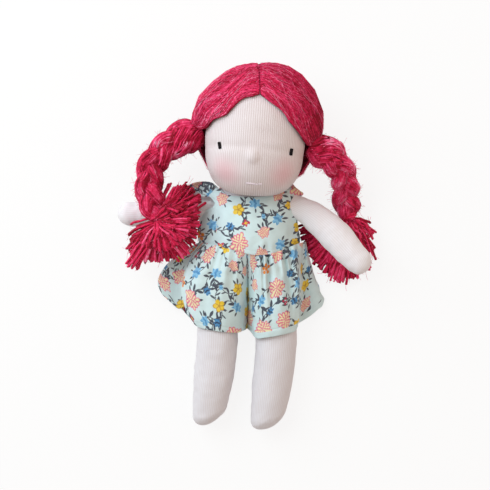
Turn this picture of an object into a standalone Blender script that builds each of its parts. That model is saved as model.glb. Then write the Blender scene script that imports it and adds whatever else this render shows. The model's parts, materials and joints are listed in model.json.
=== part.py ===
"""A stuffed cloth doll with plaited yarn hair and a floral romper, lying on its back.

The doll lies face up: +Z points out of its chest, +Y to its crown and +X to its own left.
The origin is on the surface that it lies on, under the middle of the romper's back.
Right and left in the names are the doll's own. Lengths are in metres, and angles in degrees.
"""

import math

import bmesh
import bpy
import numpy as np
from mathutils import Matrix, Vector

MM = 0.001

# Cloth, thread and clearances
GAP = 0.3 * MM
SKIN = 1.0 * MM
CLOTH = 0.6 * MM
THREAD_RADIUS = 0.55 * MM
THREAD_ROOM = 0.6 * MM
FLAT_DEPTH = 0.5 * MM
OVERRUN = 60.0 * MM
JOINT_GAP = 0.6 * MM
FACET = 0.4 * MM
HEAD_CLEARANCE = 1.6 * MM
WELD = 0.01 * MM
SMOOTH_ANGLE = 40.0

# Torso: stations run from the crotch to the top of the shoulders
TORSO_LOW = -49.5 * MM
TORSO_LENGTH = 75.1 * MM
TORSO_HALF_WIDTH = 27.0 * MM
TORSO_HALF_DEPTH = 18.5 * MM
TORSO_LEVEL = 20.6 * MM
TORSO_LEAN = 3.5 * MM
TORSO_STATION_SHARES = (0, 0.047, 0.153, 0.366, 0.659, 0.819, 0.925, 0.984, 1)
TORSO_WIDTH_SHARES = (0.333, 0.574, 0.837, 1, 0.981, 0.981, 1, 0.911, 0.778)
TORSO_DEPTH_SHARES = (0.216, 0.422, 0.724, 1, 0.995, 0.892, 0.659, 0.314, 0.043)
TORSO_LEVEL_SHARES = (0.631, 0.68, 0.825, 1, 1, 0.951, 0.903, 0.854, 0.835)
TORSO_MIDDLE_SHARES = (-1, -0.914, -0.686, -0.171, 0.343, 0.571, 0.686, 0.714, 0.714)
TORSO_MIDDLE_STATION = 4
TORSO_CROWD_SHARE = 0.11
BACK_LEVEL = 3.2 * MM
TORSO_SIDES = 22
TORSO_RINGS = 12
TORSO_CORE_SIDES = 14
TORSO_CORE_RINGS = 9

# Neck and head
TORSO_HIGH = TORSO_LOW + TORSO_LENGTH
HAIR_BACK = 7.0 * MM
HEAD_HALF_WIDTH = 34.3 * MM
HEAD_HALF_HEIGHT = 41.3 * MM
HEAD_HALF_DEPTH = 33.0 * MM
HEAD_X = 2.3 * MM
NECK_RADIUS = 10.5 * MM
NECK_SUNK = 15.6 * MM
NECK_RISE = 48.8 * MM
NECK_X = 1.4 * MM
NECK_LEVEL = 19.5 * MM
NECK_FOOT = (NECK_X, TORSO_HIGH - NECK_SUNK, NECK_LEVEL)
NECK_TIE_SHARE = 0.5
HEAD_CENTRE = (HEAD_X, NECK_FOOT[1] + NECK_RISE, HEAD_HALF_DEPTH + HAIR_BACK)
# Places on the face are shares of the head's half width and half height, from its centre
NOSE_RADIUS = 3.3 * MM
NOSE_SHARES = (-0.064, -0.392)
NOSE_SUNK_SHARE = 0.25
EYE_RADIUS = 0.95 * MM
EYE_LENGTH = 3.4 * MM
EYE_RIGHT_SHARES = (-0.697, -0.213)
EYE_LEFT_SHARES = (0.682, -0.317)
EYE_STEP_SHARES = (-1.0, -0.4, 0.4, 1.0)
EYE_END_SHARE = 0.7
EYE_LEAN = 9.0
MOUTH_FROM_SHARES = (-0.181, -0.811)
MOUTH_TO_SHARES = (0.122, -0.831)
MOUTH_SAG = 0.7 * MM
MOUTH_POINTS = 7
EYE_LINE_TILT = 5.2
LOOP_POINTS = 24
TIE_LOOP_POINTS = 16
HEAD_SEGMENTS = 24
HEAD_RINGS = 15
# The face is fuller than a ball below the eyes: shares of a power, of the way forward and of the height
JAW_FULLNESS_SHARE = 0.85
JAW_FACING_SHARES = (-0.65, -0.1)
JAW_LEVEL_SHARES = (-0.5, 0.25)
JAW_PASSES = 6
SLOPE_SHARE = 0.01

# Hair
HAIR_SIDE = 10.2 * MM
HAIR_TOP = 3.6 * MM
HAIR_SHIFT_X = 0.9 * MM
HAIR_SHIFT_Y = 5.2 * MM
HAIR_CENTRE = (HEAD_CENTRE[0] + HAIR_SHIFT_X, HEAD_CENTRE[1] + HAIR_SHIFT_Y, HEAD_CENTRE[2])
HAIR_HALF_WIDTH = HEAD_HALF_WIDTH + HAIR_SIDE
HAIR_HALF_HEIGHT = HEAD_HALF_HEIGHT + HAIR_TOP
HAIR_HALF_DEPTH = HEAD_HALF_DEPTH + HAIR_BACK
PARTING_SHIFT = 2.0 * MM
PARTING_X = HAIR_CENTRE[0] + PARTING_SHIFT
PARTING_WIDTH = 2.0 * MM
PARTING_START = 47.0
PARTING_END = 205.0
PARTING_POINTS = 18
CHEEK_RISE = 1.0 * MM
NAPE_EASE = 8.5 * MM
# The combed yarn is thinner over the forehead
HAIR_THIN_SHARE = 0.1
HAIR_FACING_SHARES = (0.35, 0.8)
# The hairline seen from the front, from the doll's right temple over the peak to its left one
HAIRLINE_SHARES = (
    (-0.988, -0.201),
    (-0.959, 0.036),
    (-0.834, 0.225),
    (-0.592, 0.293),
    (-0.35, 0.523),
    (-0.125, 0.6),
    (0.099, 0.649),
    (0.297, 0.511),
    (0.586, 0.317),
    (0.767, 0.102),
    (0.965, -0.177),
)

# Plaits: their routes are shares of the hair's half sizes, from its centre
BUNCH_RADIUS = 8.9 * MM
BUNCH_HOLD_SHARE = 0.8
STRAND_RADIUS = 3.3 * MM
PLAIT_SWING = 6.4 * MM
PLAIT_PITCH = 52.0 * MM
PLAIT_ROOT_SHARE = 0.72
PLAIT_END_SHARE = 0.52
PLAIT_EASE = 14.0 * MM
PLAIT_CORNER_SHARE = 1.25
STRANDS = 3
STRAND_TILT_SHARE = 0.3
STRAND_POINTS = 21
ROUTE_POINTS = 200
ROOM_POINTS = 20
TIE_RADIUS = 1.0 * MM
TIE_TURNS = 2
TIE_PITCH = 2.5 * MM
TIE_POINTS = 14
PLAIT_RIGHT_ROUTE_SHARES = (
    (-1.013, -0.071, -0.05),
    (-1.209, -0.134, -0.013),
    (-1.454, -0.301, -0.037),
    (-1.636, -0.557, -0.125),
    (-1.69, -0.846, -0.19),
    (-1.658, -1.125, -0.22),
    (-1.587, -1.303, -0.22),
)
PLAIT_LEFT_ROUTE_SHARES = (
    (0.944, -0.33, 0),
    (1.148, -0.492, -0.07),
    (1.326, -0.655, -0.235),
    (1.38, -0.846, -0.45),
    (1.402, -1.036, -0.64),
    (1.465, -1.225, -0.753),
    (1.501, -1.37, -0.802),
)

# Tassels: each is seen from the front as a fan of tufts round its middle
TASSEL_RIGHT_ASIDE = 4.4 * MM
TASSEL_RIGHT_BEYOND = 7.7 * MM
TASSEL_RIGHT_ABOVE = 0.8 * MM
TASSEL_RIGHT_FROM_END = (TASSEL_RIGHT_ASIDE, -TASSEL_RIGHT_BEYOND, TASSEL_RIGHT_ABOVE)
TASSEL_RIGHT_RADIUS = 27.0 * MM
TASSEL_RIGHT_DEPTH = 9.5 * MM
TASSEL_RIGHT_SHARES = (1.05, 1.14, 1.1, 0.45, 0.4, 0.5, 0.85, 1.08, 1.15, 1.01, 1.03, 0.99)
TASSEL_LEFT_ASIDE = 8.0 * MM
TASSEL_LEFT_BEYOND = 17.5 * MM
TASSEL_LEFT_UNDER = 1.5 * MM
TASSEL_LEFT_FROM_END = (-TASSEL_LEFT_ASIDE, -TASSEL_LEFT_BEYOND, -TASSEL_LEFT_UNDER)
TASSEL_LEFT_RADIUS = 27.0 * MM
TASSEL_LEFT_DEPTH = 6.9 * MM
TASSEL_LEFT_SHARES = (0.91, 0.9, 0.84, 0.6, 0.55, 0.75, 0.85, 0.78, 0.92, 1.1, 1.22, 1.0)
TASSEL_TUFTS = 12
TASSEL_SPOKES = 36
TASSEL_RINGS = 7
TASSEL_POLE = 78.0
TUFT_DEPTH_SHARE = 0.1

# Legs
LEG_ROOT_RADIUS = 13.8 * MM
LEG_HIP_RAISE = 3.8 * MM
LEG_TOE_DROP = 6.7 * MM
LEG_HIP_LEVEL = LEG_ROOT_RADIUS + LEG_HIP_RAISE
LEG_TOE_LEVEL = LEG_HIP_LEVEL - LEG_TOE_DROP
HIP_MIDDLE_X = -3.45 * MM
HIP_SPREAD = 20.75 * MM
HIP_BELOW = 5.5 * MM
LEG_RIGHT_REACH = 87.2 * MM
LEG_RIGHT_DRIFT = -7.0 * MM
LEG_LEFT_REACH = 91.0 * MM
LEG_LEFT_DRIFT = -7.7 * MM
LEG_RIGHT_HIP = (HIP_MIDDLE_X - HIP_SPREAD, TORSO_LOW - HIP_BELOW)
LEG_RIGHT_TOE = (LEG_RIGHT_HIP[0] + LEG_RIGHT_DRIFT, LEG_RIGHT_HIP[1] - LEG_RIGHT_REACH)
LEG_LEFT_HIP = (HIP_MIDDLE_X + HIP_SPREAD, TORSO_LOW - HIP_BELOW)
LEG_LEFT_TOE = (LEG_LEFT_HIP[0] + LEG_LEFT_DRIFT, LEG_LEFT_HIP[1] - LEG_LEFT_REACH)
LEG_SHARES = (0.0, 0.25, 0.5, 0.68, 0.82, 0.92)
LEG_WIDTH_SHARES = (1.0, 1.01, 1.02, 0.98, 0.88, 0.8)
LEG_TOE_LENGTH = 10.0 * MM
LEG_TOE_SLANT = -22.0
LEG_SIDES = 14

# Arms
ARM_ROOT_RADIUS = 8.7 * MM
SHOULDER_BELOW = 15.0 * MM
ARM_RIGHT_OUT = 3.2 * MM
ARM_LEFT_OUT = 7.2 * MM
ARM_LEFT_BELOW = 1.0 * MM
ARM_RIGHT_RAISE = 1.2 * MM
ARM_LEFT_RAISE = 12.3 * MM
ARM_RIGHT_RUN = 66.3 * MM
ARM_RIGHT_DROOP = 3.9 * MM
ARM_RIGHT_SINK = 0.6 * MM
ARM_LEFT_RUN = 44.2 * MM
ARM_LEFT_DROOP = 43.4 * MM
ARM_LEFT_CLIMB = 13.0 * MM
ARM_RIGHT_TO_TIP = (-ARM_RIGHT_RUN, -ARM_RIGHT_DROOP, -ARM_RIGHT_SINK)
ARM_LEFT_TO_TIP = (ARM_LEFT_RUN, -ARM_LEFT_DROOP, ARM_LEFT_CLIMB)
ARM_RIGHT_SHOULDER = (
    -TORSO_HALF_WIDTH - ARM_RIGHT_OUT,
    TORSO_HIGH - SHOULDER_BELOW,
    ARM_ROOT_RADIUS + ARM_RIGHT_RAISE,
)
ARM_LEFT_SHOULDER = (
    TORSO_HALF_WIDTH + ARM_LEFT_OUT,
    TORSO_HIGH - SHOULDER_BELOW - ARM_LEFT_BELOW,
    ARM_ROOT_RADIUS + ARM_LEFT_RAISE,
)
ARM_SHARES = (0.0, 0.18, 0.4, 0.62, 0.84)
ARM_RIGHT_WIDTH_SHARES = (1.0, 0.94, 1.03, 1.05, 1.0)
ARM_LEFT_WIDTH_SHARES = (1.0, 1.02, 1.22, 1.27, 1.1)
ARM_TIP_LENGTH = 8.8 * MM
ARM_SIDES = 12
SLEEVE_HOLE = 3.0 * MM
LIMB_TIP_POLE = 78.0
LIMB_SLANT_SHARE = 0.55
CORE_SIDES = 8

# Romper bodice
WAIST_RISE = 27.8 * MM
WAIST_LEVEL = TORSO_LOW + WAIST_RISE
ARMHOLE_EASE = 2.9 * MM
ARMHOLE_RADIUS = ARM_ROOT_RADIUS + ARMHOLE_EASE
NECKLINE_RADIUS = 22.5 * MM
NECKLINE_ABOVE = 11.4 * MM
NECKLINE_X = 2.6 * MM
NECKLINE_CENTRE = (NECKLINE_X, TORSO_HIGH + NECKLINE_ABOVE)
PLACKET_HALF = 4.0 * MM
PLACKET_STRIP = 2.6 * MM
STRIP_THICKNESS = 0.4 * MM
STRIP_ABOVE_WAIST = 7.7 * MM
STRIP_LENGTH = 20.0 * MM
BACK_FLAT_HALF = 14.0 * MM
BACK_EASE = 8.0 * MM
BACK_PRESS = 0.12 * MM
PATCH_COLUMNS = 360

# Romper legs
CROTCH_BELOW = 9.0 * MM
HEM_BELOW = 22.5 * MM
CROTCH_LEVEL = TORSO_LOW - CROTCH_BELOW
HEM_LEVEL = LEG_RIGHT_HIP[1] - HEM_BELOW
SHORTS_RIGHT_SHIFT = -1.3 * MM
SHORTS_LEFT_SHIFT = 0.2 * MM
SHORTS_RIGHT_CENTRE = LEG_RIGHT_HIP[0] + SHORTS_RIGHT_SHIFT
SHORTS_LEFT_CENTRE = LEG_LEFT_HIP[0] + SHORTS_LEFT_SHIFT
SHORTS_RIGHT_WING = 39.0 * MM
SHORTS_LEFT_WING = 32.3 * MM
SHORTS_RIGHT_RISE = 29.0 * MM
SHORTS_LEFT_RISE = 20.0 * MM
SHORTS_WING_FALL_SHARE = 0.62
SHORTS_WING_START_SHARE = 0.7
SHORTS_WING_SPAN = 23.1 * MM
SHORTS_EASE = 2.8 * MM
SHORTS_HEM_DEPTH = LEG_ROOT_RADIUS + SHORTS_EASE
SHORTS_HEM_MIDDLE = LEG_HIP_LEVEL
SHORTS_RISE_POWER = 1.8
SHORTS_PUFF_SHARE = 1.15
SHORTS_PUFF_POWER = 0.8
SHORTS_OPEN = 1.5
SHORTS_FOLD = 1.3 * MM
SHORTS_FOLDS = 6
SHORTS_FLOOR = 0.2 * MM
SHORTS_COLUMNS = 26
SHORTS_ROWS = 8

PARTS = "waldorf_doll"
CUTTERS = "cutters"


def clear_scene():
    """Remove every object, so that the script can be run again in the same file."""
    for thing in list(bpy.data.objects):
        bpy.data.objects.remove(thing, do_unlink=True)


def collection(name):
    """Return the collection of this name, made and linked if it isn't there."""
    found = bpy.data.collections.get(name)
    if found is None:
        found = bpy.data.collections.new(name)
        bpy.context.scene.collection.children.link(found)
    return found


def material(name, colour, roughness):
    """A plain Principled material: cloth, thread and yarn are all without metal."""
    made = bpy.data.materials.get(name)
    if made is None:
        made = bpy.data.materials.new(name)
        made.use_nodes = True
        shader = made.node_tree.nodes["Principled BSDF"]
        shader.inputs["Base Color"].default_value = (*colour, 1.0)
        shader.inputs["Roughness"].default_value = roughness
        shader.inputs["Metallic"].default_value = 0.0
        made.diffuse_color = (*colour, 1.0)
    return made


def knit():
    return material("pale cotton knit", (0.72, 0.60, 0.57), 0.85)


def wool():
    return material("carded wool stuffing", (0.80, 0.76, 0.66), 0.95)


def yarn():
    return material("crimson mohair yarn", (0.46, 0.02, 0.06), 0.9)


def print_cloth():
    return material("aqua floral cotton", (0.60, 0.74, 0.72), 0.8)


def dark_thread():
    return material("dark brown eye thread", (0.02, 0.012, 0.012), 0.6)


def pale_thread():
    return material("pale lilac mouth thread", (0.78, 0.66, 0.72), 0.6)


def white_thread():
    return material("white sewing thread", (0.8, 0.8, 0.78), 0.6)


def closure_tape():
    return material("white closure tape", (0.82, 0.82, 0.8), 0.7)


def place(name, mesh, finish):
    """Put a mesh into the parts collection as a sub-part with its finish."""
    mesh.name = name
    mesh.shade_smooth()
    mesh.set_sharp_from_angle(angle=math.radians(SMOOTH_ANGLE))
    made = bpy.data.objects.new(name, mesh)
    mesh.materials.clear()
    mesh.materials.append(finish)
    collection(PARTS).objects.link(made)
    return made


def guide(name, mesh):
    """Put a mesh into the cutters collection, where it is only a cutting tool."""
    made = bpy.data.objects.new(name, mesh)
    made.hide_render = True
    made.display_type = "WIRE"
    collection(CUTTERS).objects.link(made)
    return made


def cut(target, cutter, operation="DIFFERENCE"):
    """Add a Boolean modifier that cuts the target with the cutter."""
    step = target.modifiers.new(f"{operation.lower()} {cutter.name}", "BOOLEAN")
    step.operation = operation
    step.solver = "EXACT"
    step.object = cutter


def thicken(target, thickness, outward):
    """Give an open surface its wall, outwards or inwards from the surface."""
    step = target.modifiers.new("wall", "SOLIDIFY")
    step.thickness = thickness
    step.offset = 1.0 if outward else -1.0
    step.use_even_offset = True


def through(stations, values, at):
    """A smooth curve through the stations: cubic pieces whose slopes are those of the neighbours."""
    xs = np.asarray(stations, dtype=float)
    ys = np.asarray(values, dtype=float)
    slopes = np.gradient(ys, xs)
    at = np.clip(np.asarray(at, dtype=float), xs[0], xs[-1])
    left = np.clip(np.searchsorted(xs, at, side="right") - 1, 0, len(xs) - 2)
    span = xs[left + 1] - xs[left]
    t = (at - xs[left]) / span
    return (
        (2 * t**3 - 3 * t**2 + 1) * ys[left]
        + (t**3 - 2 * t**2 + t) * span * slopes[left]
        + (3 * t**2 - 2 * t**3) * ys[left + 1]
        + (t**3 - t**2) * span * slopes[left + 1]
    )


def smooth_step(low, high, at):
    """Zero below low, one above high, and an even S between them."""
    t = np.clip((np.asarray(at, dtype=float) - low) / (high - low), 0.0, 1.0)
    return t * t * (3.0 - 2.0 * t)


def grid_mesh(name, points, round_section, first_cap=False, last_cap=False):
    """Faces over a grid of rows of points. A round section joins the last column to the first."""
    rows, columns = points.shape[:2]
    build = bmesh.new()
    verts = [[build.verts.new(Vector(point)) for point in row] for row in points]
    span = columns if round_section else columns - 1
    for row in range(rows - 1):
        for column in range(span):
            after = (column + 1) % columns
            build.faces.new(
                (verts[row][column], verts[row][after], verts[row + 1][after], verts[row + 1][column])
            )
    for wanted, ring in ((first_cap, verts[0]), (last_cap, verts[-1])):
        if wanted:
            middle = sum((vert.co for vert in ring), Vector()) / len(ring)
            pole = build.verts.new(middle)
            for column in range(columns):
                build.faces.new((ring[column], ring[(column + 1) % columns], pole))
    bmesh.ops.recalc_face_normals(build, faces=build.faces)
    mesh = bpy.data.meshes.new(name)
    build.to_mesh(mesh)
    build.free()
    return mesh


def outward_grid(name, points, round_section, inside, first_cap=False, last_cap=False):
    """A grid mesh whose faces are turned to look away from the point inside."""
    mesh = grid_mesh(name, points, round_section, first_cap, last_cap)
    away = sum((face.center - Vector(inside)).dot(face.normal) * face.area for face in mesh.polygons)
    if away < 0:
        mesh.flip_normals()
    return mesh


def grown(points, distance):
    """Move a grid of points along its own surface normals, which point away from its middle."""
    along = np.gradient(points, axis=0)
    around = np.empty_like(points)
    around[:, 1:-1] = points[:, 2:] - points[:, :-2]
    around[:, 0] = points[:, 1] - points[:, -1]
    around[:, -1] = points[:, 0] - points[:, -2]
    normal = np.cross(around, along)
    length = np.linalg.norm(normal, axis=2, keepdims=True)
    normal = normal / np.maximum(length, 1e-12)
    middle = points.mean(axis=1, keepdims=True)
    turned = np.sign((normal * (points - middle)).sum(axis=(0, 1, 2)))
    return points + normal * distance * turned


def ball_mesh(name, centre, half_sizes, segments, rings, form=None):
    """An ellipsoid from a sphere primitive, or another form that moves the points of a unit ball."""
    build = bmesh.new()
    bmesh.ops.create_uvsphere(build, u_segments=segments, v_segments=rings, radius=1.0)
    turn = Matrix.Rotation(math.radians(90.0), 4, "X")
    bmesh.ops.transform(build, matrix=turn, verts=build.verts)
    if form:
        for vert in build.verts:
            vert.co = form(vert.co)
    scale = Matrix.Diagonal((*half_sizes, 1.0))
    bmesh.ops.transform(build, matrix=Matrix.Translation(centre) @ scale, verts=build.verts)
    mesh = bpy.data.meshes.new(name)
    build.to_mesh(mesh)
    build.free()
    return mesh


def rod_mesh(name, start, end, radius, sides):
    """A cylinder from start to end, from a cone primitive with equal ends."""
    start = Vector(start)
    axis = Vector(end) - start
    build = bmesh.new()
    bmesh.ops.create_cone(
        build, cap_ends=True, segments=sides, radius1=radius, radius2=radius, depth=axis.length
    )
    turn = axis.to_track_quat("Z", "Y").to_matrix().to_4x4()
    bmesh.ops.transform(build, matrix=Matrix.Translation(start + axis / 2) @ turn, verts=build.verts)
    mesh = bpy.data.meshes.new(name)
    build.to_mesh(mesh)
    build.free()
    return mesh


def box_mesh(name, low, high):
    """A box between two corners, from a cube primitive."""
    low = Vector(low)
    high = Vector(high)
    build = bmesh.new()
    bmesh.ops.create_cube(build, size=1.0)
    scale = Matrix.Diagonal((*(high - low), 1.0))
    bmesh.ops.transform(build, matrix=Matrix.Translation((low + high) / 2) @ scale, verts=build.verts)
    mesh = bpy.data.meshes.new(name)
    build.to_mesh(mesh)
    build.free()
    return mesh


def tube_mesh(name, points, radii, resolution, cyclic=False):
    """A round tube along points, from a curve with a bevel and filled caps, welded into one skin."""
    curve = bpy.data.curves.new(name, "CURVE")
    curve.dimensions = "3D"
    curve.bevel_depth = float(max(radii))
    curve.bevel_resolution = resolution
    curve.use_fill_caps = not cyclic
    line = curve.splines.new("POLY")
    line.points.add(len(points) - 1)
    for spot, point, radius in zip(line.points, points, radii):
        spot.co = (*point, 1.0)
        spot.radius = radius / curve.bevel_depth
    line.use_cyclic_u = cyclic
    holder = bpy.data.objects.new(name, curve)
    bpy.context.scene.collection.objects.link(holder)
    bpy.context.view_layer.update()
    mesh = bpy.data.meshes.new_from_object(holder.evaluated_get(bpy.context.evaluated_depsgraph_get()))
    build = bmesh.new()
    build.from_mesh(mesh)
    bmesh.ops.remove_doubles(build, verts=build.verts, dist=WELD)
    bmesh.ops.recalc_face_normals(build, faces=build.faces)
    build.to_mesh(mesh)
    build.free()
    bpy.data.objects.remove(holder, do_unlink=True)
    return mesh


def floor_cutter():
    """A slab under the doll that cuts its resting forms flat."""
    name = "floor"
    found = bpy.data.objects.get(name)
    if found is None:
        reach = 4 * OVERRUN
        found = guide(name, box_mesh(name, (-reach, -reach, -OVERRUN), (reach, reach, 0.0)))
    return found


def neck_axis():
    """The direction from the foot of the neck to the middle of the head."""
    return (Vector(HEAD_CENTRE) - Vector(NECK_FOOT)).normalized()


# Torso and its wool
def torso_points(sides, rings, grow=0.0):
    """Ellipses along the body whose back is pressed flat: rows run from the crotch to the shoulders."""
    share = np.linspace(0.0, 1.0, rings)
    share = share - TORSO_CROWD_SHARE * np.sin(2 * np.pi * share)
    y = TORSO_LOW + TORSO_LENGTH * share
    turn = np.linspace(0.0, 2 * np.pi, sides, endpoint=False)
    middle, width, depth, level = torso_sizes(share)
    points = np.empty((rings, sides, 3))
    points[:, :, 0] = middle[:, None] + width[:, None] * np.cos(turn)
    points[:, :, 1] = y[:, None]
    points[:, :, 2] = np.maximum(level[:, None] + depth[:, None] * np.sin(turn), BACK_LEVEL)
    if grow:
        points = grown(points, grow)
        points[:, :, 2] = np.maximum(points[:, :, 2], BACK_LEVEL - grow)
    return points


def torso_sizes(share):
    """The torso's middle, half width, half depth and level at a share of its length."""
    tables = (
        (TORSO_MIDDLE_SHARES, TORSO_LEAN),
        (TORSO_WIDTH_SHARES, TORSO_HALF_WIDTH),
        (TORSO_DEPTH_SHARES, TORSO_HALF_DEPTH),
        (TORSO_LEVEL_SHARES, TORSO_LEVEL),
    )
    return [through(TORSO_STATION_SHARES, values, share) * size for values, size in tables]


def torso_middle():
    """A point inside the torso, at the origin's height along the body."""
    share = TORSO_STATION_SHARES[TORSO_MIDDLE_STATION]
    middle, _, _, level = torso_sizes(share)
    return (float(middle), TORSO_LOW + TORSO_LENGTH * share, float(level))


def head_clearance_cutter():
    """The head's ball with room for its turn on the slanting neck."""
    name = "head clearance"
    return guide(name, head_ball(name, HEAD_CLEARANCE, 20, 12))


def neck_socket_cutter():
    """A bore for the neck, from its foot up past the torso."""
    axis = neck_axis()
    start = Vector(NECK_FOOT) - axis * GAP
    end = Vector(NECK_FOOT) + axis * OVERRUN
    return guide("neck socket", rod_mesh("neck socket", start, end, NECK_RADIUS + GAP, 16))


def limb_socket_cutters():
    """Balls and rods that keep the torso clear of the limbs' rounded roots and of the raised legs."""
    made = []
    for name, place_at, radius in (
        ("shoulder right", ARM_RIGHT_SHOULDER, ARM_ROOT_RADIUS),
        ("shoulder left", ARM_LEFT_SHOULDER, ARM_ROOT_RADIUS),
        ("hip right", (*LEG_RIGHT_HIP, LEG_HIP_LEVEL), LEG_ROOT_RADIUS),
        ("hip left", (*LEG_LEFT_HIP, LEG_HIP_LEVEL), LEG_ROOT_RADIUS),
    ):
        ball = ball_mesh(f"{name} socket", place_at, [radius + JOINT_GAP] * 3, 14, 9)
        made.append(guide(ball.name, ball))
        if name.startswith("hip"):
            top = Vector(place_at) + Vector((0.0, 0.0, OVERRUN))
            radius_up = radius * max(LEG_WIDTH_SHARES) + JOINT_GAP + FACET
            rod = rod_mesh(f"{name} raised leg", place_at, top, radius_up, 14)
            made.append(guide(rod.name, rod))
    return made


def build_torso():
    """The body's knit skin, open at the neck, over a core of wool."""
    cutters = [head_clearance_cutter(), neck_socket_cutter(), *limb_socket_cutters()]
    skin = torso_points(TORSO_SIDES, TORSO_RINGS)
    inside = torso_middle()
    shell = place("torso_skin", outward_grid("torso_skin", skin, True, inside, True, True), knit())
    hollow = torso_points(TORSO_SIDES, TORSO_RINGS, -SKIN)[1:-1]
    hollow = guide("torso hollow", outward_grid("torso hollow", hollow, True, inside, True, True))
    core = torso_points(TORSO_CORE_SIDES, TORSO_CORE_RINGS, -(SKIN + GAP + FACET))[1:-1]
    stuffing = place("torso_wool", outward_grid("torso_wool", core, True, inside, True, True), wool())
    for cutter in cutters:
        cut(shell, cutter)
        cut(stuffing, cutter)
    cut(shell, hollow)


# Limbs
def limb_points(root, tip, root_radius, shares, width_shares, tip_length, sides, slant=0.0, grow=0.0):
    """Round sections along a limb: a half ball at the root, a swelling length and a rounded tip."""
    root = np.asarray(root)
    axis = np.asarray(tip) - root
    length = np.linalg.norm(axis)
    axis = axis / length
    side = np.cross(axis, (0.0, 0.0, 1.0))
    side = side / np.linalg.norm(side)
    front = np.cross(side, axis)
    ball = root_radius + grow
    hole = math.asin(min(SLEEVE_HOLE / ball, 1.0))
    back_turn = np.linspace(-math.pi / 2 + hole, 0.0, 5)[:-1]
    straight_end = length - tip_length
    along = np.linspace(0.0, straight_end, 8)[:-1]
    tip_turn = np.linspace(0.0, math.radians(LIMB_TIP_POLE), 4)
    last = through(shares, width_shares, straight_end / length) * root_radius + grow
    distance = np.concatenate(
        [ball * np.sin(back_turn), along, straight_end + (tip_length + grow) * np.sin(tip_turn)]
    )
    radius = np.concatenate(
        [
            ball * np.cos(back_turn),
            through(shares, width_shares, along / length) * root_radius + grow,
            last * np.cos(tip_turn),
        ]
    )
    turn = np.linspace(0.0, 2 * np.pi, sides, endpoint=False)
    across = radius[:, None] * np.cos(turn)
    up = radius[:, None] * np.sin(turn)
    lean = math.tan(math.radians(slant)) * smooth_step(LIMB_SLANT_SHARE * length, length, distance)
    forward = distance[:, None] + lean[:, None] * across
    return (
        root
        + forward[:, :, None] * axis
        + across[:, :, None] * side
        + up[:, :, None] * front
    )


def build_limb(name, on_floor, **form):
    """A stuffed limb: its skin is open at the sewn root, and the wool inside is a closed form."""
    centre = (np.asarray(form["root"]) + np.asarray(form["tip"])) / 2
    surface = limb_points(**form)
    shell = place(f"{name}_skin", outward_grid(name, surface, True, centre, False, True), knit())
    thicken(shell, SKIN, outward=False)
    form["sides"] = CORE_SIDES
    filling = limb_points(**form, grow=-(SKIN + GAP + FACET))
    core = place(f"{name}_wool", outward_grid(name, filling, True, centre, True, True), wool())
    if on_floor:
        cut(shell, floor_cutter())
    return shell, core


def build_legs():
    """Two straight stuffed legs that lie on their backs and lift at the hips."""
    for name, hip, toe in (
        ("leg_right", LEG_RIGHT_HIP, LEG_RIGHT_TOE),
        ("leg_left", LEG_LEFT_HIP, LEG_LEFT_TOE),
    ):
        build_limb(
            name,
            True,
            root=(*hip, LEG_HIP_LEVEL),
            tip=(*toe, LEG_TOE_LEVEL),
            root_radius=LEG_ROOT_RADIUS,
            shares=LEG_SHARES,
            width_shares=LEG_WIDTH_SHARES,
            tip_length=LEG_TOE_LENGTH,
            sides=LEG_SIDES,
            slant=LEG_TOE_SLANT,
        )


def build_arms():
    """The right arm lies flat under its plait, and the left one rests on the other tassel."""
    for name, shoulder, to_tip, width_shares in (
        ("arm_right", ARM_RIGHT_SHOULDER, ARM_RIGHT_TO_TIP, ARM_RIGHT_WIDTH_SHARES),
        ("arm_left", ARM_LEFT_SHOULDER, ARM_LEFT_TO_TIP, ARM_LEFT_WIDTH_SHARES),
    ):
        build_limb(
            name,
            False,
            root=shoulder,
            tip=tuple(Vector(shoulder) + Vector(to_tip)),
            root_radius=ARM_ROOT_RADIUS,
            shares=ARM_SHARES,
            width_shares=width_shares,
            tip_length=ARM_TIP_LENGTH,
            sides=ARM_SIDES,
        )


# Head
def head_sizes(grow):
    """The half sizes of the head's ball, larger all round by the given amount."""
    return [HEAD_HALF_WIDTH + grow, HEAD_HALF_HEIGHT + grow, HEAD_HALF_DEPTH + grow]


def jaw_power(height, facing):
    """The power of the head's outline: 2 makes an ellipse, and more fills out the jaw and cheeks."""
    front = smooth_step(*JAW_FACING_SHARES, facing)
    low = 1.0 - smooth_step(*JAW_LEVEL_SHARES, height)
    return 2.0 + JAW_FULLNESS_SHARE * front * low


def head_shape(spot):
    """Move a point of the unit ball to the head's form."""
    across = math.hypot(spot.x, spot.z)
    facing = spot.z / max(across, SLOPE_SHARE)
    power = jaw_power(spot.y, facing)
    reach = across ** (2.0 / power) / max(across, SLOPE_SHARE)
    return Vector((spot.x * reach, math.copysign(abs(spot.y) ** (2.0 / power), spot.y), spot.z * reach))


def head_reach(up, facing):
    """The share of the half width that the head has at a level, towards one side of it."""
    height = up
    for _ in range(JAW_PASSES):
        power = jaw_power(height, facing)
        height = math.copysign(abs(up) ** (power / 2.0), up)
    return (1.0 - height**2) ** (1.0 / power)


def head_ball(name, grow, segments, rings):
    """The head's form as a mesh, larger all round by the given amount."""
    return ball_mesh(name, HEAD_CENTRE, head_sizes(grow), segments, rings, head_shape)


def head_form(name, shrink, neck_extra=0.0, segments=HEAD_SEGMENTS, rings=HEAD_RINGS):
    """The head's ball joined to its neck, smaller all round by the given amount."""
    ball = head_ball(name, -shrink, segments, rings)
    start = Vector(NECK_FOOT) - neck_axis() * neck_extra
    neck = guide(
        f"{name} neck", rod_mesh(f"{name} neck", start, HEAD_CENTRE, NECK_RADIUS - shrink, 16)
    )
    return ball, neck


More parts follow.
